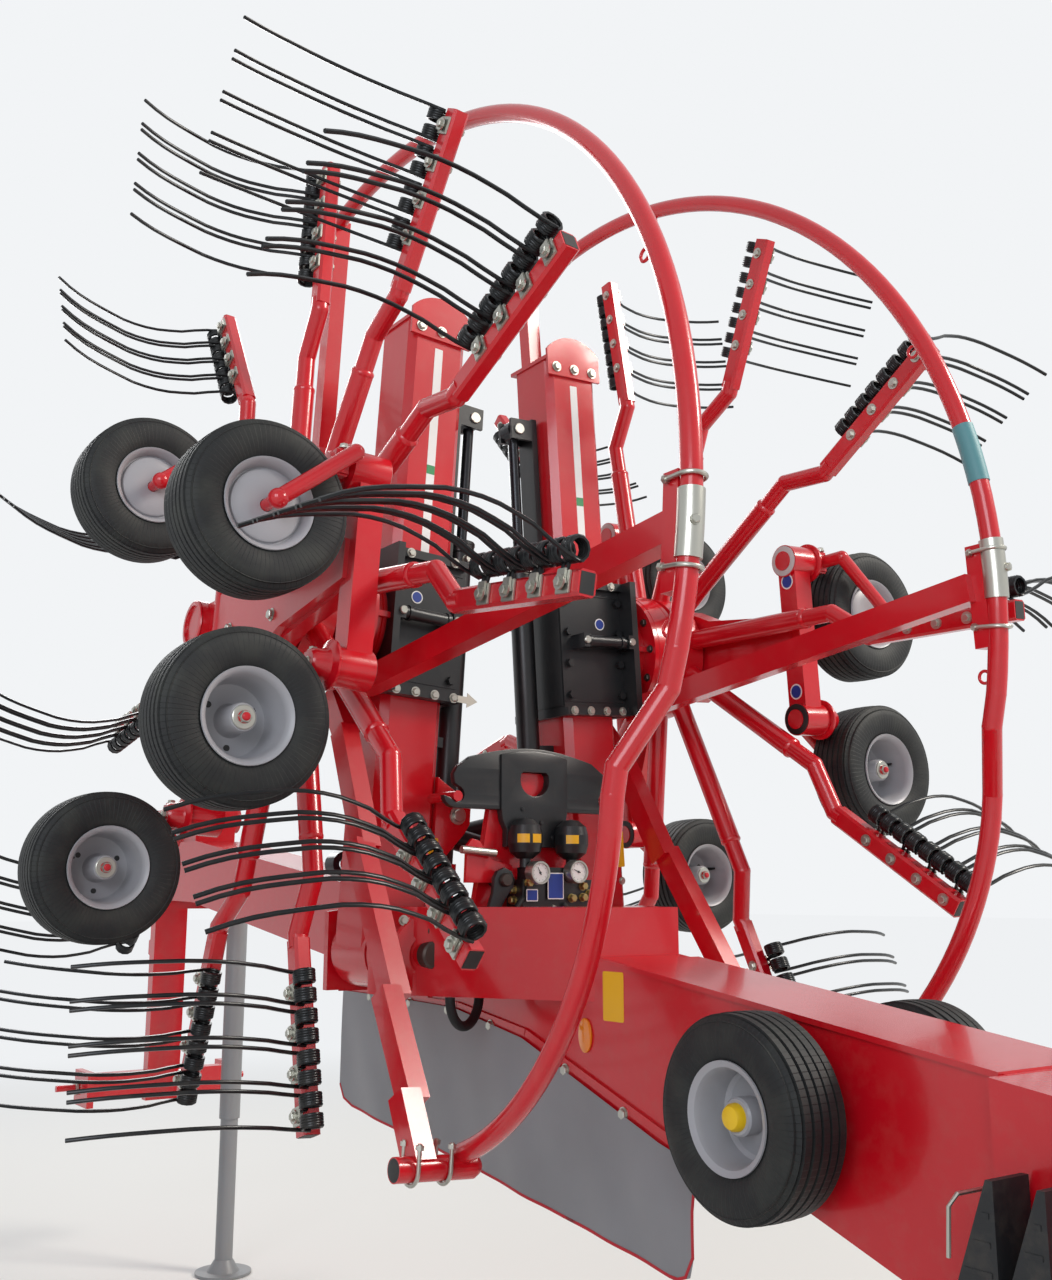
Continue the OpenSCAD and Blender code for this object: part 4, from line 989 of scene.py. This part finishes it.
# ---- Slide and lift cylinders: black painted barrels with a screwed gland and dark rods.
# Steel pins through the eyes, kept by round washers; each barrel has two hose fittings.
rod_dark = dusty_gloss("rod_dark", "202226", "2A2D31", 0.24, metallic=0.5, dust_amount=0.05, peel=0.02)
SLIDE_U = -0.184
for side in ("left", "right"):
    frame_of_arm = arm_place(side)
    dress([f"slide_barrel_{side}", f"lift_barrel_{side}"], black_paint)
    dress([f"slide_rod_{side}", f"lift_rod_{side}"], rod_dark)
    barrel_line = frame_of_arm @ Matrix.Translation((SLIDE_U, 0, 0)) @ Matrix.Rotation(math.radians(-90), 4, "Y")
    gland = bmesh.new()
    for low, radius in ((1.214, 0.0445), (1.240, 0.0440)):
        turned(gland, [(0.036, low), (radius, low + 0.001), (radius, low + 0.009), (0.036, low + 0.010)], 40,
               barrel_line, ring=True)
    finish(gland, f"slide_gland_{side}", f"arm_{side}", black_paint)
    bolt_row(f"slide_fittings_{side}", [((SLIDE_U, -0.036, s), (0, -1, 0)) for s in (0.310, 1.190)],
             f"arm_{side}", across=0.022, height=0.020, washer_radius=0.0135, place=frame_of_arm)
    eye_pin = bmesh.new()
    turned(eye_pin, [(0.0, 0.006), (0.016, 0.006), (0.018, 0.004), (0.018, -0.002), (0.0, -0.002)], 28,
           frame_of_arm @ Matrix.Translation((SLIDE_U, -0.038, 1.660)) @ AWAY)
    finish(eye_pin, f"slide_pin_{side}", f"carriage_{side}", zinc_plate)


# ---- Carriages: black steel sleeves that slide on the arms and carry the rotors. Their halves
# are bolted at both ends; a small lock cylinder lies across the near face, with a blue mark.
for side in ("left", "right"):
    frame_of_arm = arm_place(side)
    dress([f"carriage_{side}"], black_paint)
    sleeve_bolts = [((u, -0.146, 0.7275), (0, -1, 0)) for u in (-0.104, -0.040, 0.024, 0.088)]
    sleeve_bolts += [((u, -0.146, 1.1325), (0, -1, 0)) for u in (-0.080, 0.070)]
    bolt_row(f"carriage_bolts_{side}", sleeve_bolts, f"carriage_{side}", across=0.019, height=0.009,
             washer_radius=0.0145, place=frame_of_arm)
    lock_pins = bmesh.new()
    for u in (-0.073, 0.107):
        turned(lock_pins, [(0.0, 0.008), (0.010, 0.008), (0.012, 0.006), (0.012, 0.0), (0.0, 0.0)], 24,
               frame_of_arm @ Matrix.Translation((u, -0.190, 0.946)) @ AWAY)
    finish(lock_pins, f"lock_cylinder_pins_{side}", f"carriage_{side}", zinc_plate)
    gland = bmesh.new()
    for u in (-0.052, 0.076):
        turned(gland, [(0.018, -0.006), (0.0225, -0.005), (0.0225, 0.005), (0.018, 0.006)], 32,
               frame_of_arm @ Matrix.Translation((u, -0.168, 0.946)), ring=True)
    finish(gland, f"lock_cylinder_rings_{side}", f"carriage_{side}", black_paint)
    sign = frame_of_arm @ Matrix(((1, 0, 0, 0.030), (0, 0, -1, -0.1265), (0, 1, 0, 1.010), (0, 0, 0, 1)))
    for name, radius, low, high, paint in (("ring", 0.019, 0.0, 0.0006, white_vinyl),
                                           ("disc", 0.0155, 0.0006, 0.0011, blue_vinyl)):
        mark = bmesh.new()
        cut_plate(mark, [[(radius * math.cos(math.tau * k / 28), radius * math.sin(math.tau * k / 28))
                          for k in range(28)]], low, high, sign)
        finish(mark, f"carriage_sign_{name}_{side}", f"carriage_{side}", paint)
    seam = bmesh.new()
    for s in (0.760, 1.100):
        add_block(seam, (-0.122, -0.1285, s - 0.003), (0.122, -0.125, s + 0.003), frame_of_arm, ease=0.001)
    add_block(seam, (-0.1285, -0.122, 0.745), (-0.1255, 0.122, 1.115), frame_of_arm, ease=0.001)
    finish(seam, f"carriage_seams_{side}", f"carriage_{side}", black_paint)
arrow = bmesh.new()
arrow_line = [(-0.104, 0.010), (-0.150, 0.010), (-0.150, 0.022), (-0.186, 0.0), (-0.150, -0.022), (-0.150, -0.010),
              (-0.104, -0.010)]
cut_plate(arrow, [arrow_line], 0.0, 0.002,
          arm_place("left") @ Matrix(((1, 0, 0, 0), (0, 0, -1, -0.146), (0, 1, 0, 0.7275), (0, 0, 0, 1))))
finish(arrow, "slide_pointer", "carriage_left", pale_steel)


# ---- Gear housings and rotor chassis: cast housings with bolted rims, and the welded frames that
# carry the casters. Hub ends are shut by black or grey plastic plugs; blank blue marks.
def on_rotor(side):
    """From a rotor's own frame (outboard, along Y, up the arm from the hub) to the machine's."""
    return arm_place(side) @ Matrix.Translation((0, 0, 0.930))


CASTERS = [(0.270, 0.500, -1), (-0.585, 0.225, -1), (-0.585, -0.270, 1), (0.270, -0.585, 1)]
grey_plug = dusty_gloss("grey_plug", "C9C8C4", "B9B8B4", 0.5, dust_amount=0.08, peel=0.02)
black_plug = dusty_gloss("black_plug", "141516", "1C1D1E", 0.5, dust_amount=0.10, peel=0.05)
for side in ("left", "right"):
    rotor = on_rotor(side)
    dress([f"gear_housing_{side}", f"rotor_chassis_{side}"], red_paint)
    rim_bolts = [((0.192, 0.180 * math.cos(math.tau * k / 12), 0.180 * math.sin(math.tau * k / 12)), (-1, 0, 0))
                 for k in range(12)]
    bolt_row(f"housing_bolts_{side}", rim_bolts, f"carriage_{side}", across=0.019, height=0.009,
             washer_radius=0.013, material=dark_steel, place=rotor)
    rings = bmesh.new()
    for reach, radius in ((0.214, 0.2065), (0.281, 0.2065)):
        turned(rings, [(0.203, reach - 0.006), (radius, reach - 0.004), (radius, reach + 0.004),
                       (0.203, reach + 0.006)], 72, rotor, ring=True)
    turned(rings, [(0.147, 0.141), (0.156, 0.143), (0.156, 0.151), (0.147, 0.153)], 64, rotor, ring=True)
    finish(rings, f"housing_rings_{side}", f"carriage_{side}", red_paint)
    for k, (y, z, way) in enumerate(CASTERS):
        plug = bmesh.new()
        turned(plug, [(0.022, 0.4066), (0.044, 0.4066), (0.047, 0.4078), (0.047, 0.412), (0.022, 0.412)], 40,
               rotor @ Matrix.Translation((0, y, z)), ring=True)
        finish(plug, f"hub_plug_{side}_{k + 1}", f"carriage_{side}", black_plug if k in (2, 3) else grey_plug)
    for name, radius, low, high, paint in (("rings", 0.024, 0.0, 0.0006, white_vinyl),
                                           ("discs", 0.0195, 0.0006, 0.0011, blue_vinyl)):
        marks = bmesh.new()
        for y, s in ((-0.585, 1.090), (-0.585, 0.745)):
            place = arm_place(side) @ Matrix(((0, 0, -1, 0.4178), (1, 0, 0, y), (0, 1, 0, s), (0, 0, 0, 1)))
            cut_plate(marks, [[(radius * math.cos(math.tau * k / 28), radius * math.sin(math.tau * k / 28))
                               for k in range(28)]], low, high, place)
        finish(marks, f"post_sign_{name}_{side}", f"carriage_{side}", paint)
    flange = bmesh.new()
    turned(flange, [(0.040, 0.4035), (0.068, 0.4035), (0.071, 0.400), (0.071, 0.396), (0.040, 0.396)], 48,
           rotor @ Matrix.Translation((0, 0.388, 0)), ring=True)
    turned(flange, [(0.045, 0.5035), (0.070, 0.5035), (0.074, 0.507), (0.071, 0.511), (0.058, 0.512), (0.056, 0.505),
                    (0.045, 0.505)], 48, rotor @ Matrix.Translation((0, 0.388, 0)), ring=True)
    finish(flange, f"front_flange_{side}", f"carriage_{side}", red_paint)
    chassis_spots = [(0.110, 0.060), (0.110, -0.060), (-0.060, 0.100), (-0.060, -0.110), (-0.180, 0.060),
                     (-0.180, -0.070)]
    bolt_row(f"chassis_bolts_{side}", [((0.498, y, z), (1, 0, 0)) for y, z in chassis_spots], f"carriage_{side}",
             across=0.024, height=0.012, washer_radius=0.018, place=rotor)


# ---- Guard hoops: bent red tubes round the rotors, held by square supports. U-bolts clamp the
# tube beside a zinc sleeve with a set bolt; the right hoop has a band of teal tape.
teal_tape = dusty_gloss("teal_tape", "5B9196", "4F858B", 0.5, dust_amount=0.06, peel=0.1)
HOOP_R, HOOP_U = 1.480, 0.180


def hoop_arc(start, end, steps=12):
    """Places on the upper arc between two angles, in the rotor's frame."""
    return [Vector((HOOP_U, HOOP_R * math.cos(math.radians(start + (end - start) * k / steps)),
                    HOOP_R * math.sin(math.radians(start + (end - start) * k / steps)))) for k in range(steps + 1)]


def u_bolt(build, centre, wrap, legs, across, radius, place):
    """A round-bar U round a tube: its bend, two legs and the nuts at their ends."""
    centre, wrap, legs, across = Vector(centre), Vector(wrap), Vector(legs), Vector(across)
    bend = [centre + across * radius * math.cos(math.radians(a)) + wrap * radius * math.sin(math.radians(a))
            for a in range(0, 181, 15)]
    tube(build, [bend[0] + legs] + bend + [bend[-1] + legs], 0.005, 10, place)
    for end in (bend[0] + legs * 0.86, bend[-1] + legs * 0.86):
        tube(build, [end - legs.normalized() * 0.005, end + legs.normalized() * 0.005], 0.0095, 6, place)


for side in ("left", "right"):
    rotor = on_rotor(side)
    dress([f"guard_hoop_{side}"], red_paint)
    sleeve_from, sleeve_to = (179.4, 185.0) if side == "left" else (177.4, 183.0)
    zinc_parts = bmesh.new()
    middle = hoop_arc(sleeve_from, sleeve_to)
    tube(zinc_parts, middle, 0.0290, 32, rotor)
    for angle in (178.35, 185.7):
        spot = hoop_arc(angle, angle, 1)[0]
        out = Vector((0, math.cos(math.radians(angle)), math.sin(math.radians(angle))))
        u_bolt(zinc_parts, spot, out, -out * 0.052, (1, 0, 0), 0.0300, rotor)
    foot = Vector((0.0, -0.694, -1.388))
    for u in (0.178, 0.262):
        u_bolt(zinc_parts, foot + Vector((u, 0, 0)), (0, 0, -1), Vector((0, 0, 0.058)), (0, 1, 0), 0.0340, rotor)
    finish(zinc_parts, f"hoop_sleeve_{side}", f"carriage_{side}", zinc_plate)
    sleeve_middle = middle[len(middle) // 2]
    bolt_row(f"hoop_sleeve_bolt_{side}", [(sleeve_middle + Vector((0.012, -0.027, 0)), (0.35, -1, 0))],
             f"carriage_{side}", across=0.017, height=0.010, washer_radius=0.011, place=rotor)
    plug = bmesh.new()
    turned(plug, [(0.0, 0.3065), (0.020, 0.3065), (0.025, 0.3055), (0.0265, 0.3035), (0.0265, 0.300), (0.0, 0.300)], 36,
           rotor @ Matrix.Translation(foot))
    finish(plug, f"hoop_foot_plug_{side}", f"carriage_{side}", black_plug)
band = bmesh.new()
tube(band, hoop_arc(165.6, 171.6), 0.0262, 32, on_rotor("right"))
finish(band, "hoop_tape_right", "carriage_right", teal_tape)


# ---- Rotor arms: eleven bent tubes on each hub, with squared ends that carry the tines.
# Red paint, a black plug in every tube end, and a ring of bolts on the hub.
ring_tree = bpy.data.node_groups.new("round_the_rotor", "GeometryNodeTree")
ring_in = sockets(ring_tree, {"Arms": 11, "Phase": 0.0, "Material": None})
ring_points = ring_tree.nodes.new("GeometryNodePoints")
ring_tree.links.new(ring_in["Arms"], ring_points.inputs["Count"])
ring_index = ring_tree.nodes.new("GeometryNodeInputIndex")
ring_step = tree_math(ring_tree, "DIVIDE", math.tau, ring_in["Arms"])
ring_turns = tree_math(ring_tree, "MULTIPLY", ring_index.outputs[0], ring_step)
ring_angle = tree_math(ring_tree, "ADD", ring_turns, ring_in["Phase"])
ring_euler = ring_tree.nodes.new("ShaderNodeCombineXYZ")
ring_tree.links.new(tree_math(ring_tree, "MULTIPLY", ring_angle, -1.0), ring_euler.inputs["X"])
ring_turn = ring_tree.nodes.new("FunctionNodeEulerToRotation")
ring_tree.links.new(ring_euler.outputs[0], ring_turn.inputs[0])
ring_spots = ring_tree.nodes.new("GeometryNodeInstanceOnPoints")
ring_tree.links.new(ring_points.outputs[0], ring_spots.inputs["Points"])
ring_tree.links.new(ring_in["Geometry"], ring_spots.inputs["Instance"])
ring_tree.links.new(ring_turn.outputs[0], ring_spots.inputs["Rotation"])
close_tree(ring_tree, ring_spots.outputs[0], ring_in["Material"])
PHASES = {"left": math.radians(34.6), "right": math.radians(6.8)}
ARMS = 11


def round_rotor(name, seed, side, material, angle=40):
    """Repeats one arm's parts round a rotor and lays them in place."""
    mesh = grow(ring_tree, name, seed, {"Arms": ARMS, "Phase": PHASES[side], "Material": material})
    mesh.transform(on_rotor(side))
    if side == "left":
        mesh.flip_normals()
    mesh.shade_smooth()
    mesh.set_sharp_from_angle(angle=math.radians(angle))
    piece = bpy.data.objects.new(name, mesh)
    bpy.context.scene.collection.objects.link(piece)
    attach(piece, f"rotor_{side}")
    return piece


def seed_mesh(build, name):
    """A closed mesh in one arm's own frame, for the ring tree."""
    bmesh.ops.remove_doubles(build, verts=build.verts, dist=2e-6)
    bmesh.ops.recalc_face_normals(build, faces=build.faces)
    mesh = bpy.data.meshes.new(name)
    build.to_mesh(mesh)
    build.free()
    return mesh


TIP_R, ARM_U, ARM_T, ARM_HU, ARM_HT = 1.412, 0.370, -0.048, 0.022, 0.027
for side in ("left", "right"):
    dress([f"rotor_arms_{side}"], red_paint)
    one_plug = bmesh.new()
    add_block(one_plug, (ARM_U - ARM_HU + 0.004, ARM_T - ARM_HT + 0.004, TIP_R - 0.003),
              (ARM_U + ARM_HU - 0.004, ARM_T + ARM_HT - 0.004, TIP_R + 0.0008), ease=0.0008)
    round_rotor(f"arm_plugs_{side}", seed_mesh(one_plug, "arm_plug"), side, black_plug)
    one_collar = bmesh.new()
    tube(one_collar, [(0.362, 0.038, 0.690), (0.362, 0.038, 0.694), (0.362, 0.038, 0.700), (0.362, 0.038, 0.706)],
         [0.0312, 0.0322, 0.0318, 0.0265], 24)
    round_rotor(f"arm_collars_{side}", seed_mesh(one_collar, "arm_collar"), side, red_paint)
    hub_bolts = [((0.400, 0.188 * math.cos(math.tau * k / 22), 0.188 * math.sin(math.tau * k / 22)), (1, 0, 0))
                 for k in range(22)]
    bolt_row(f"rotor_hub_bolts_{side}", hub_bolts, f"rotor_{side}", across=0.015, height=0.003,
             washer_radius=0.010, place=on_rotor(side))


# ---- Tines: double spring tines of black wire, four on each arm. Each has two coils side by side
# and two long wires with a soft bend; a zinc plate and one bolt clamp it to the arm.
tine_tree = bpy.data.node_groups.new("double_tine", "GeometryNodeTree")
tine_in = sockets(tine_tree, {"Wire Radius": 0.005, "Coil Radius": 0.024, "Coil Length": 0.030, "Turns": 5.0,
                              "Gap": 0.0085, "Reach": 0.560, "Sweep": 0.083, "Material": None})
tine_nodes, tine_links = tine_tree.nodes, tine_tree.links
tine_round = tine_nodes.new("GeometryNodeCurvePrimitiveCircle")
tine_round.inputs["Resolution"].default_value = 6
tine_links.new(tine_in["Wire Radius"], tine_round.inputs["Radius"])
tine_parts = tine_nodes.new("GeometryNodeJoinGeometry")


def vector_of(tree, x, y, z):
    """A vector from three numbers or sockets."""
    node = tree.nodes.new("ShaderNodeCombineXYZ")
    for k, value in enumerate((x, y, z)):
        if isinstance(value, (int, float)):
            node.inputs[k].default_value = value
        else:
            tree.links.new(value, node.inputs[k])
    return node.outputs[0]


# the wire leaves the coil on its low side, rises, and droops towards its tip
wire_line = tine_nodes.new("GeometryNodeCurvePrimitiveLine")
WIRE_ROOT_U, WIRE_ROOT_T = 0.386, -0.0165
wire_end = tree_math(tine_tree, "ADD", tine_in["Reach"], WIRE_ROOT_U)
tine_links.new(vector_of(tine_tree, WIRE_ROOT_U, 0.0, 0.0), wire_line.inputs["Start"])
tine_links.new(vector_of(tine_tree, wire_end, 0.0, 0.0), wire_line.inputs["End"])
wire_steps = tine_nodes.new("GeometryNodeResampleCurve")
wire_steps.inputs["Count"].default_value = 15
tine_links.new(wire_line.outputs[0], wire_steps.inputs["Curve"])
wire_share = tine_nodes.new("GeometryNodeSplineParameter")
wire_shape = tine_nodes.new("ShaderNodeFloatCurve")
shape_points = wire_shape.mapping.curves[0].points
for k, (share, rise) in enumerate(((0.0, 0.12), (0.08, 0.27), (0.277, 0.81), (0.473, 1.0), (0.670, 0.81), (1.0, 0.0))):
    point = shape_points[0] if k == 0 else shape_points[-1] if k == 5 else shape_points.new(share, rise)
    point.location = (share, rise)
wire_shape.mapping.update()
tine_links.new(wire_share.outputs["Factor"], wire_shape.inputs["Value"])
wire_rise = tree_math(tine_tree, "MULTIPLY", wire_shape.outputs[0], tine_in["Sweep"])
wire_bend = tine_nodes.new("GeometryNodeSetPosition")
tine_links.new(wire_steps.outputs[0], wire_bend.inputs["Geometry"])
wire_height = tree_math(tine_tree, "ADD", wire_rise, WIRE_ROOT_T)
tine_links.new(vector_of(tine_tree, 0.0, wire_height, 0.0), wire_bend.inputs["Offset"])
wire_mesh = tine_nodes.new("GeometryNodeCurveToMesh")
wire_mesh.inputs["Fill Caps"].default_value = True
tine_links.new(wire_bend.outputs[0], wire_mesh.inputs["Curve"])
tine_links.new(tine_round.outputs[0], wire_mesh.inputs["Profile Curve"])
coil = tine_nodes.new("GeometryNodeCurveSpiral")
coil.inputs["Resolution"].default_value = 11
tine_links.new(tine_in["Turns"], coil.inputs["Rotations"])
tine_links.new(tine_in["Coil Radius"], coil.inputs["Start Radius"])
tine_links.new(tine_in["Coil Radius"], coil.inputs["End Radius"])
tine_links.new(tine_in["Coil Length"], coil.inputs["Height"])
coil_mesh = tine_nodes.new("GeometryNodeCurveToMesh")
coil_mesh.inputs["Fill Caps"].default_value = True
tine_links.new(coil.outputs[0], coil_mesh.inputs["Curve"])
tine_links.new(tine_round.outputs[0], coil_mesh.inputs["Profile Curve"])
clip_line = tine_nodes.new("GeometryNodeCurvePrimitiveLine")
clip_line.inputs["Start"].default_value = (0.392, -0.006, 0.0)
clip_line.inputs["End"].default_value = (0.4005, -0.052, 0.0)
clip_mesh = tine_nodes.new("GeometryNodeCurveToMesh")
clip_mesh.inputs["Fill Caps"].default_value = True
tine_links.new(clip_line.outputs[0], clip_mesh.inputs["Curve"])
tine_links.new(tine_round.outputs[0], clip_mesh.inputs["Profile Curve"])
coil_far = tree_math(tine_tree, "ADD", tine_in["Gap"], tine_in["Coil Length"])
for way in (-1.0, 1.0):
    for mesh_out, away in ((wire_mesh, coil_far), (clip_mesh, tine_in["Gap"])):
        shift = vector_of(tine_tree, 0.0, 0.0, tree_math(tine_tree, "MULTIPLY", away, way))
        move = tine_nodes.new("GeometryNodeTransform")
        tine_links.new(mesh_out.outputs[0], move.inputs["Geometry"])
        tine_links.new(shift, move.inputs["Translation"])
        tine_links.new(move.outputs[0], tine_parts.inputs[0])
    start = tine_in["Gap"] if way > 0 else tree_math(tine_tree, "MULTIPLY", coil_far, -1.0)
    move = tine_nodes.new("GeometryNodeTransform")
    move.inputs["Rotation"].default_value = (0.0, 0.0, -math.pi / 2)
    tine_links.new(coil_mesh.outputs[0], move.inputs["Geometry"])
    tine_links.new(vector_of(tine_tree, 0.392, 0.018, start), move.inputs["Translation"])
    tine_links.new(move.outputs[0], tine_parts.inputs[0])
tine_spots = tine_nodes.new("GeometryNodeInstanceOnPoints")
tine_links.new(tine_in["Geometry"], tine_spots.inputs["Points"])
tine_links.new(tine_parts.outputs[0], tine_spots.inputs["Instance"])
close_tree(tine_tree, tine_spots.outputs[0], tine_in["Material"])

tine_black = dusty_gloss("tine_black", "0F1113", "1A1D20", 0.28, metallic=0.35, dust_amount=0.10, peel=0.02)
TINE_ROWS = [TIP_R - 0.045 - k * 0.097 for k in range(4)]
for side in ("left", "right"):
    one_set = grow(tine_tree, "tine_set", points_mesh("tine_rows", [(0, 0, r) for r in TINE_ROWS]),
                   {"Wire Radius": 0.005, "Coil Radius": 0.024, "Coil Length": 0.030, "Turns": 5.0, "Gap": 0.0085,
                    "Reach": 0.560, "Sweep": 0.083, "Material": tine_black})
    tines = round_rotor(f"spring_tines_{side}", one_set, side, tine_black, angle=60)
    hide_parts(f"rotor_tines_{side}")
    one_clamp = bmesh.new()
    for r in TINE_ROWS:
        add_block(one_clamp, (ARM_U + ARM_HU + 0.0003, ARM_T - 0.022, r - 0.022),
                  (ARM_U + ARM_HU + 0.0065, ARM_T + 0.024, r + 0.022), ease=0.0012)
        add_block(one_clamp, (ARM_U + ARM_HU + 0.006, ARM_T - 0.004, r - 0.014),
                  (ARM_U + ARM_HU + 0.012, ARM_T + 0.028, r + 0.014), ease=0.0015)
    round_rotor(f"tine_clamps_{side}", seed_mesh(one_clamp, "tine_clamp"), side, zinc_plate)
    one_bolts = grow(bolt_tree, "tine_bolts",
                     points_mesh("tine_bolt_spots", [(ARM_U + ARM_HU + 0.0135, ARM_T, r) for r in TINE_ROWS]
                                 + [(ARM_U - ARM_HU - 0.001, ARM_T, r) for r in TINE_ROWS],
                                 axis=[(1.0, 0.0, 0.0)] * 4 + [(-1.0, 0.0, 0.0)] * 4),
                     {"Head Width": 0.018, "Head Height": 0.009, "Washer Radius": 0.0165, "Material": zinc_plate})
    round_rotor(f"tine_bolts_{side}", one_bolts, side, zinc_plate, angle=25)


# ---- Casters: a red bent tube from a cast collar to the wheel's axle, free to turn on its pin.
# The collar has a pinch bolt, and a big thin washer lies between it and the frame's hub.
for side in ("left", "right"):
    for k, (y, z, way) in enumerate(CASTERS):
        body = f"caster_{side}_{k + 1}"
        dress([body], red_paint)
        spot = on_rotor(side) @ Matrix.Translation((0, y, z))
        collar = bmesh.new()
        turned(collar, [(0.030, 0.5075), (0.058, 0.5075), (0.062, 0.510), (0.062, 0.516), (0.054, 0.520),
                        (0.042, 0.524), (0.037, 0.534), (0.034, 0.560), (0.028, 0.568), (0.016, 0.569), (0.0, 0.569),
                        (0.0, 0.5078)], 40, spot)
        add_block(collar, (0.520, way * 0.030 - 0.014, -0.036), (0.560, way * 0.030 + 0.018, 0.036), spot, ease=0.006)
        finish(collar, f"caster_collar_{side}_{k + 1}", body, red_paint)
        bolt_row(f"caster_bolts_{side}_{k + 1}",
                 [((0.540, way * 0.036, 0.036), (0, 0, 1)), ((0.569, 0.0, 0.0), (1, 0, 0))],
                 body, across=0.019, height=0.010, washer_radius=0.013, place=spot)


# ---- Rotor wheels: small tyres with fine ribs on grey pressed rims. One side is a flat disc with a
# raised lip; the other is dished, with the hub, a zinc nut with a red cap and the valve.
red_cap = dusty_gloss("red_cap", "C81420", "B51020", 0.4, dust_amount=0.06, peel=0.02)
WHEEL_R, WHEEL_W, WHEEL_RIM = 0.205, 0.160, 0.102
# the rim's section as (radius, along the axle), from the flat disc round the lips to the dish
ROTOR_RIM = [(0.016, -0.052), (0.040, -0.054), (0.082, -0.054), (0.0865, -0.051), (0.089, -0.044), (0.092, -0.044),
             (0.095, -0.054), (0.099, -0.066), (0.105, -0.073), (0.110, -0.0752), (0.1115, -0.072), (0.106, -0.067),
             (0.1030, -0.060), (0.1030, 0.060), (0.106, 0.067), (0.1115, 0.072), (0.110, 0.0752), (0.103, 0.072),
             (0.097, 0.064), (0.094, 0.052), (0.091, -0.024), (0.084, -0.036), (0.060, -0.040), (0.040, -0.034),
             (0.034, -0.022), (0.034, 0.036), (0.031, 0.042), (0.016, 0.043)]
for side in ("left", "right"):
    for k, (y, z, way) in enumerate(CASTERS):
        body = f"wheel_{side}_{k + 1}"
        hub = (on_rotor(side) @ Matrix.Translation((0.730, y, z - 0.160))
               @ Matrix.Rotation(math.radians(-90 if way > 0 else 90), 4, "Z"))
        casing = bmesh.new()
        tyre(casing, WHEEL_R, WHEEL_W, WHEEL_RIM, 6, hub, groove=0.005)
        finish(casing, f"rotor_tyre_{side}_{k + 1}", body, tyre_rubber)
        dish = bmesh.new()
        turned(dish, ROTOR_RIM, 64, hub, ring=True)
        rim = finish(dish, f"rotor_rim_{side}_{k + 1}", body, rim_grey)
        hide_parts(body)
        nut = bmesh.new()
        turned(nut, [(0.0, 0.0475), (0.026, 0.0475), (0.028, 0.046), (0.028, 0.042), (0.0, 0.042)], 32, hub)
        turned(nut, [(0.0, 0.058), (0.013, 0.058), (0.0155, 0.055), (0.0155, 0.047), (0.0, 0.047)], 6, hub)
        finish(nut, f"rotor_nut_{side}_{k + 1}", body, zinc_plate, angle=25)
        cap = bmesh.new()
        turned(cap, [(0.0, 0.0645), (0.006, 0.064), (0.0095, 0.061), (0.010, 0.057), (0.0, 0.057)], 20, hub)
        finish(cap, f"rotor_cap_{side}_{k + 1}", body, red_cap)
        small = bmesh.new()
        tube(small, [(-0.030, 0.086, 0.020), (0.000, 0.083, 0.020), (0.016, 0.080, 0.021)],
             [0.0055, 0.0045, 0.0035], 10, hub)
        for turn in (30, 150, 270):
            a = math.radians(turn)
            turned(small, [(0.0, 0.0), (0.0075, 0.0), (0.0075, -0.002), (0.0, -0.002)], 20,
                   hub @ Matrix.Translation((-0.0385, 0.062 * math.cos(a), 0.062 * math.sin(a))))
        finish(small, f"rotor_valve_{side}_{k + 1}", body, black_plug)


# ---- Front end: the headstock with its link pins, the input gearbox and the parking jack. They
# stand behind the rotors in the photograph, so their finish follows common practice.
grey_paint = dusty_gloss("grey_paint", "8E9092", "7E8082", 0.4, dust_amount=0.10)
dress(["headstock", "input_gearbox"], red_paint)
dress(["jack_tube", "jack_foot"], grey_paint)
dress(["hose_loop"], hose_rubber)
for out in (-1, 1):
    link_pin = bmesh.new()
    hub = Matrix.Translation((out * 0.330, 2.815, 0.765)) @ (Matrix.Rotation(math.pi, 4, "Z") if out < 0 else Matrix())
    turned(link_pin, [(0.0142, 0.016), (0.030, 0.016), (0.033, 0.019), (0.033, 0.026), (0.030, 0.028),
                      (0.0142, 0.028)], 36, hub, ring=True)
    finish(link_pin, f"link_pin_collar_{'left' if out < 0 else 'right'}", "headstock", zinc_plate)
bolt_row("headstock_bolts", [((x, 2.741, z), (0, 1, 0)) for x in (-0.050, 0.050) for z in (1.20, 1.55, 1.80)],
         "headstock", across=0.024, height=0.012, washer_radius=0.018)
gearbox_bolts = [((0.086 * math.cos(math.tau * k / 8), 2.430, 1.945 + 0.086 * math.sin(math.tau * k / 8)), (0, 1, 0))
                 for k in range(8)]
bolt_row("gearbox_bolts", gearbox_bolts, "frame", across=0.013, height=0.006, washer_radius=0.009)
shaft = bmesh.new()
turned(shaft, [(0.018, 0.008), (0.052, 0.008), (0.056, 0.004), (0.056, 0.0), (0.018, 0.0)], 40,
       Matrix.Translation((0, 2.460, 1.945)) @ Matrix.Rotation(math.radians(90), 4, "Z"), ring=True)
finish(shaft, "input_seal", "frame", dark_steel)
grip = bmesh.new()
turned(grip, [(0.011, 0.0), (0.015, 0.004), (0.0165, 0.020), (0.015, 0.050), (0.012, 0.060), (0.0, 0.0608),
              (0.0, 0.0)], 24,
       Matrix.Translation((0.322, 2.390, 1.740)) @ Matrix.Rotation(math.radians(-90), 4, "Y"))
finish(grip, "jack_grip", "frame", black_plug)
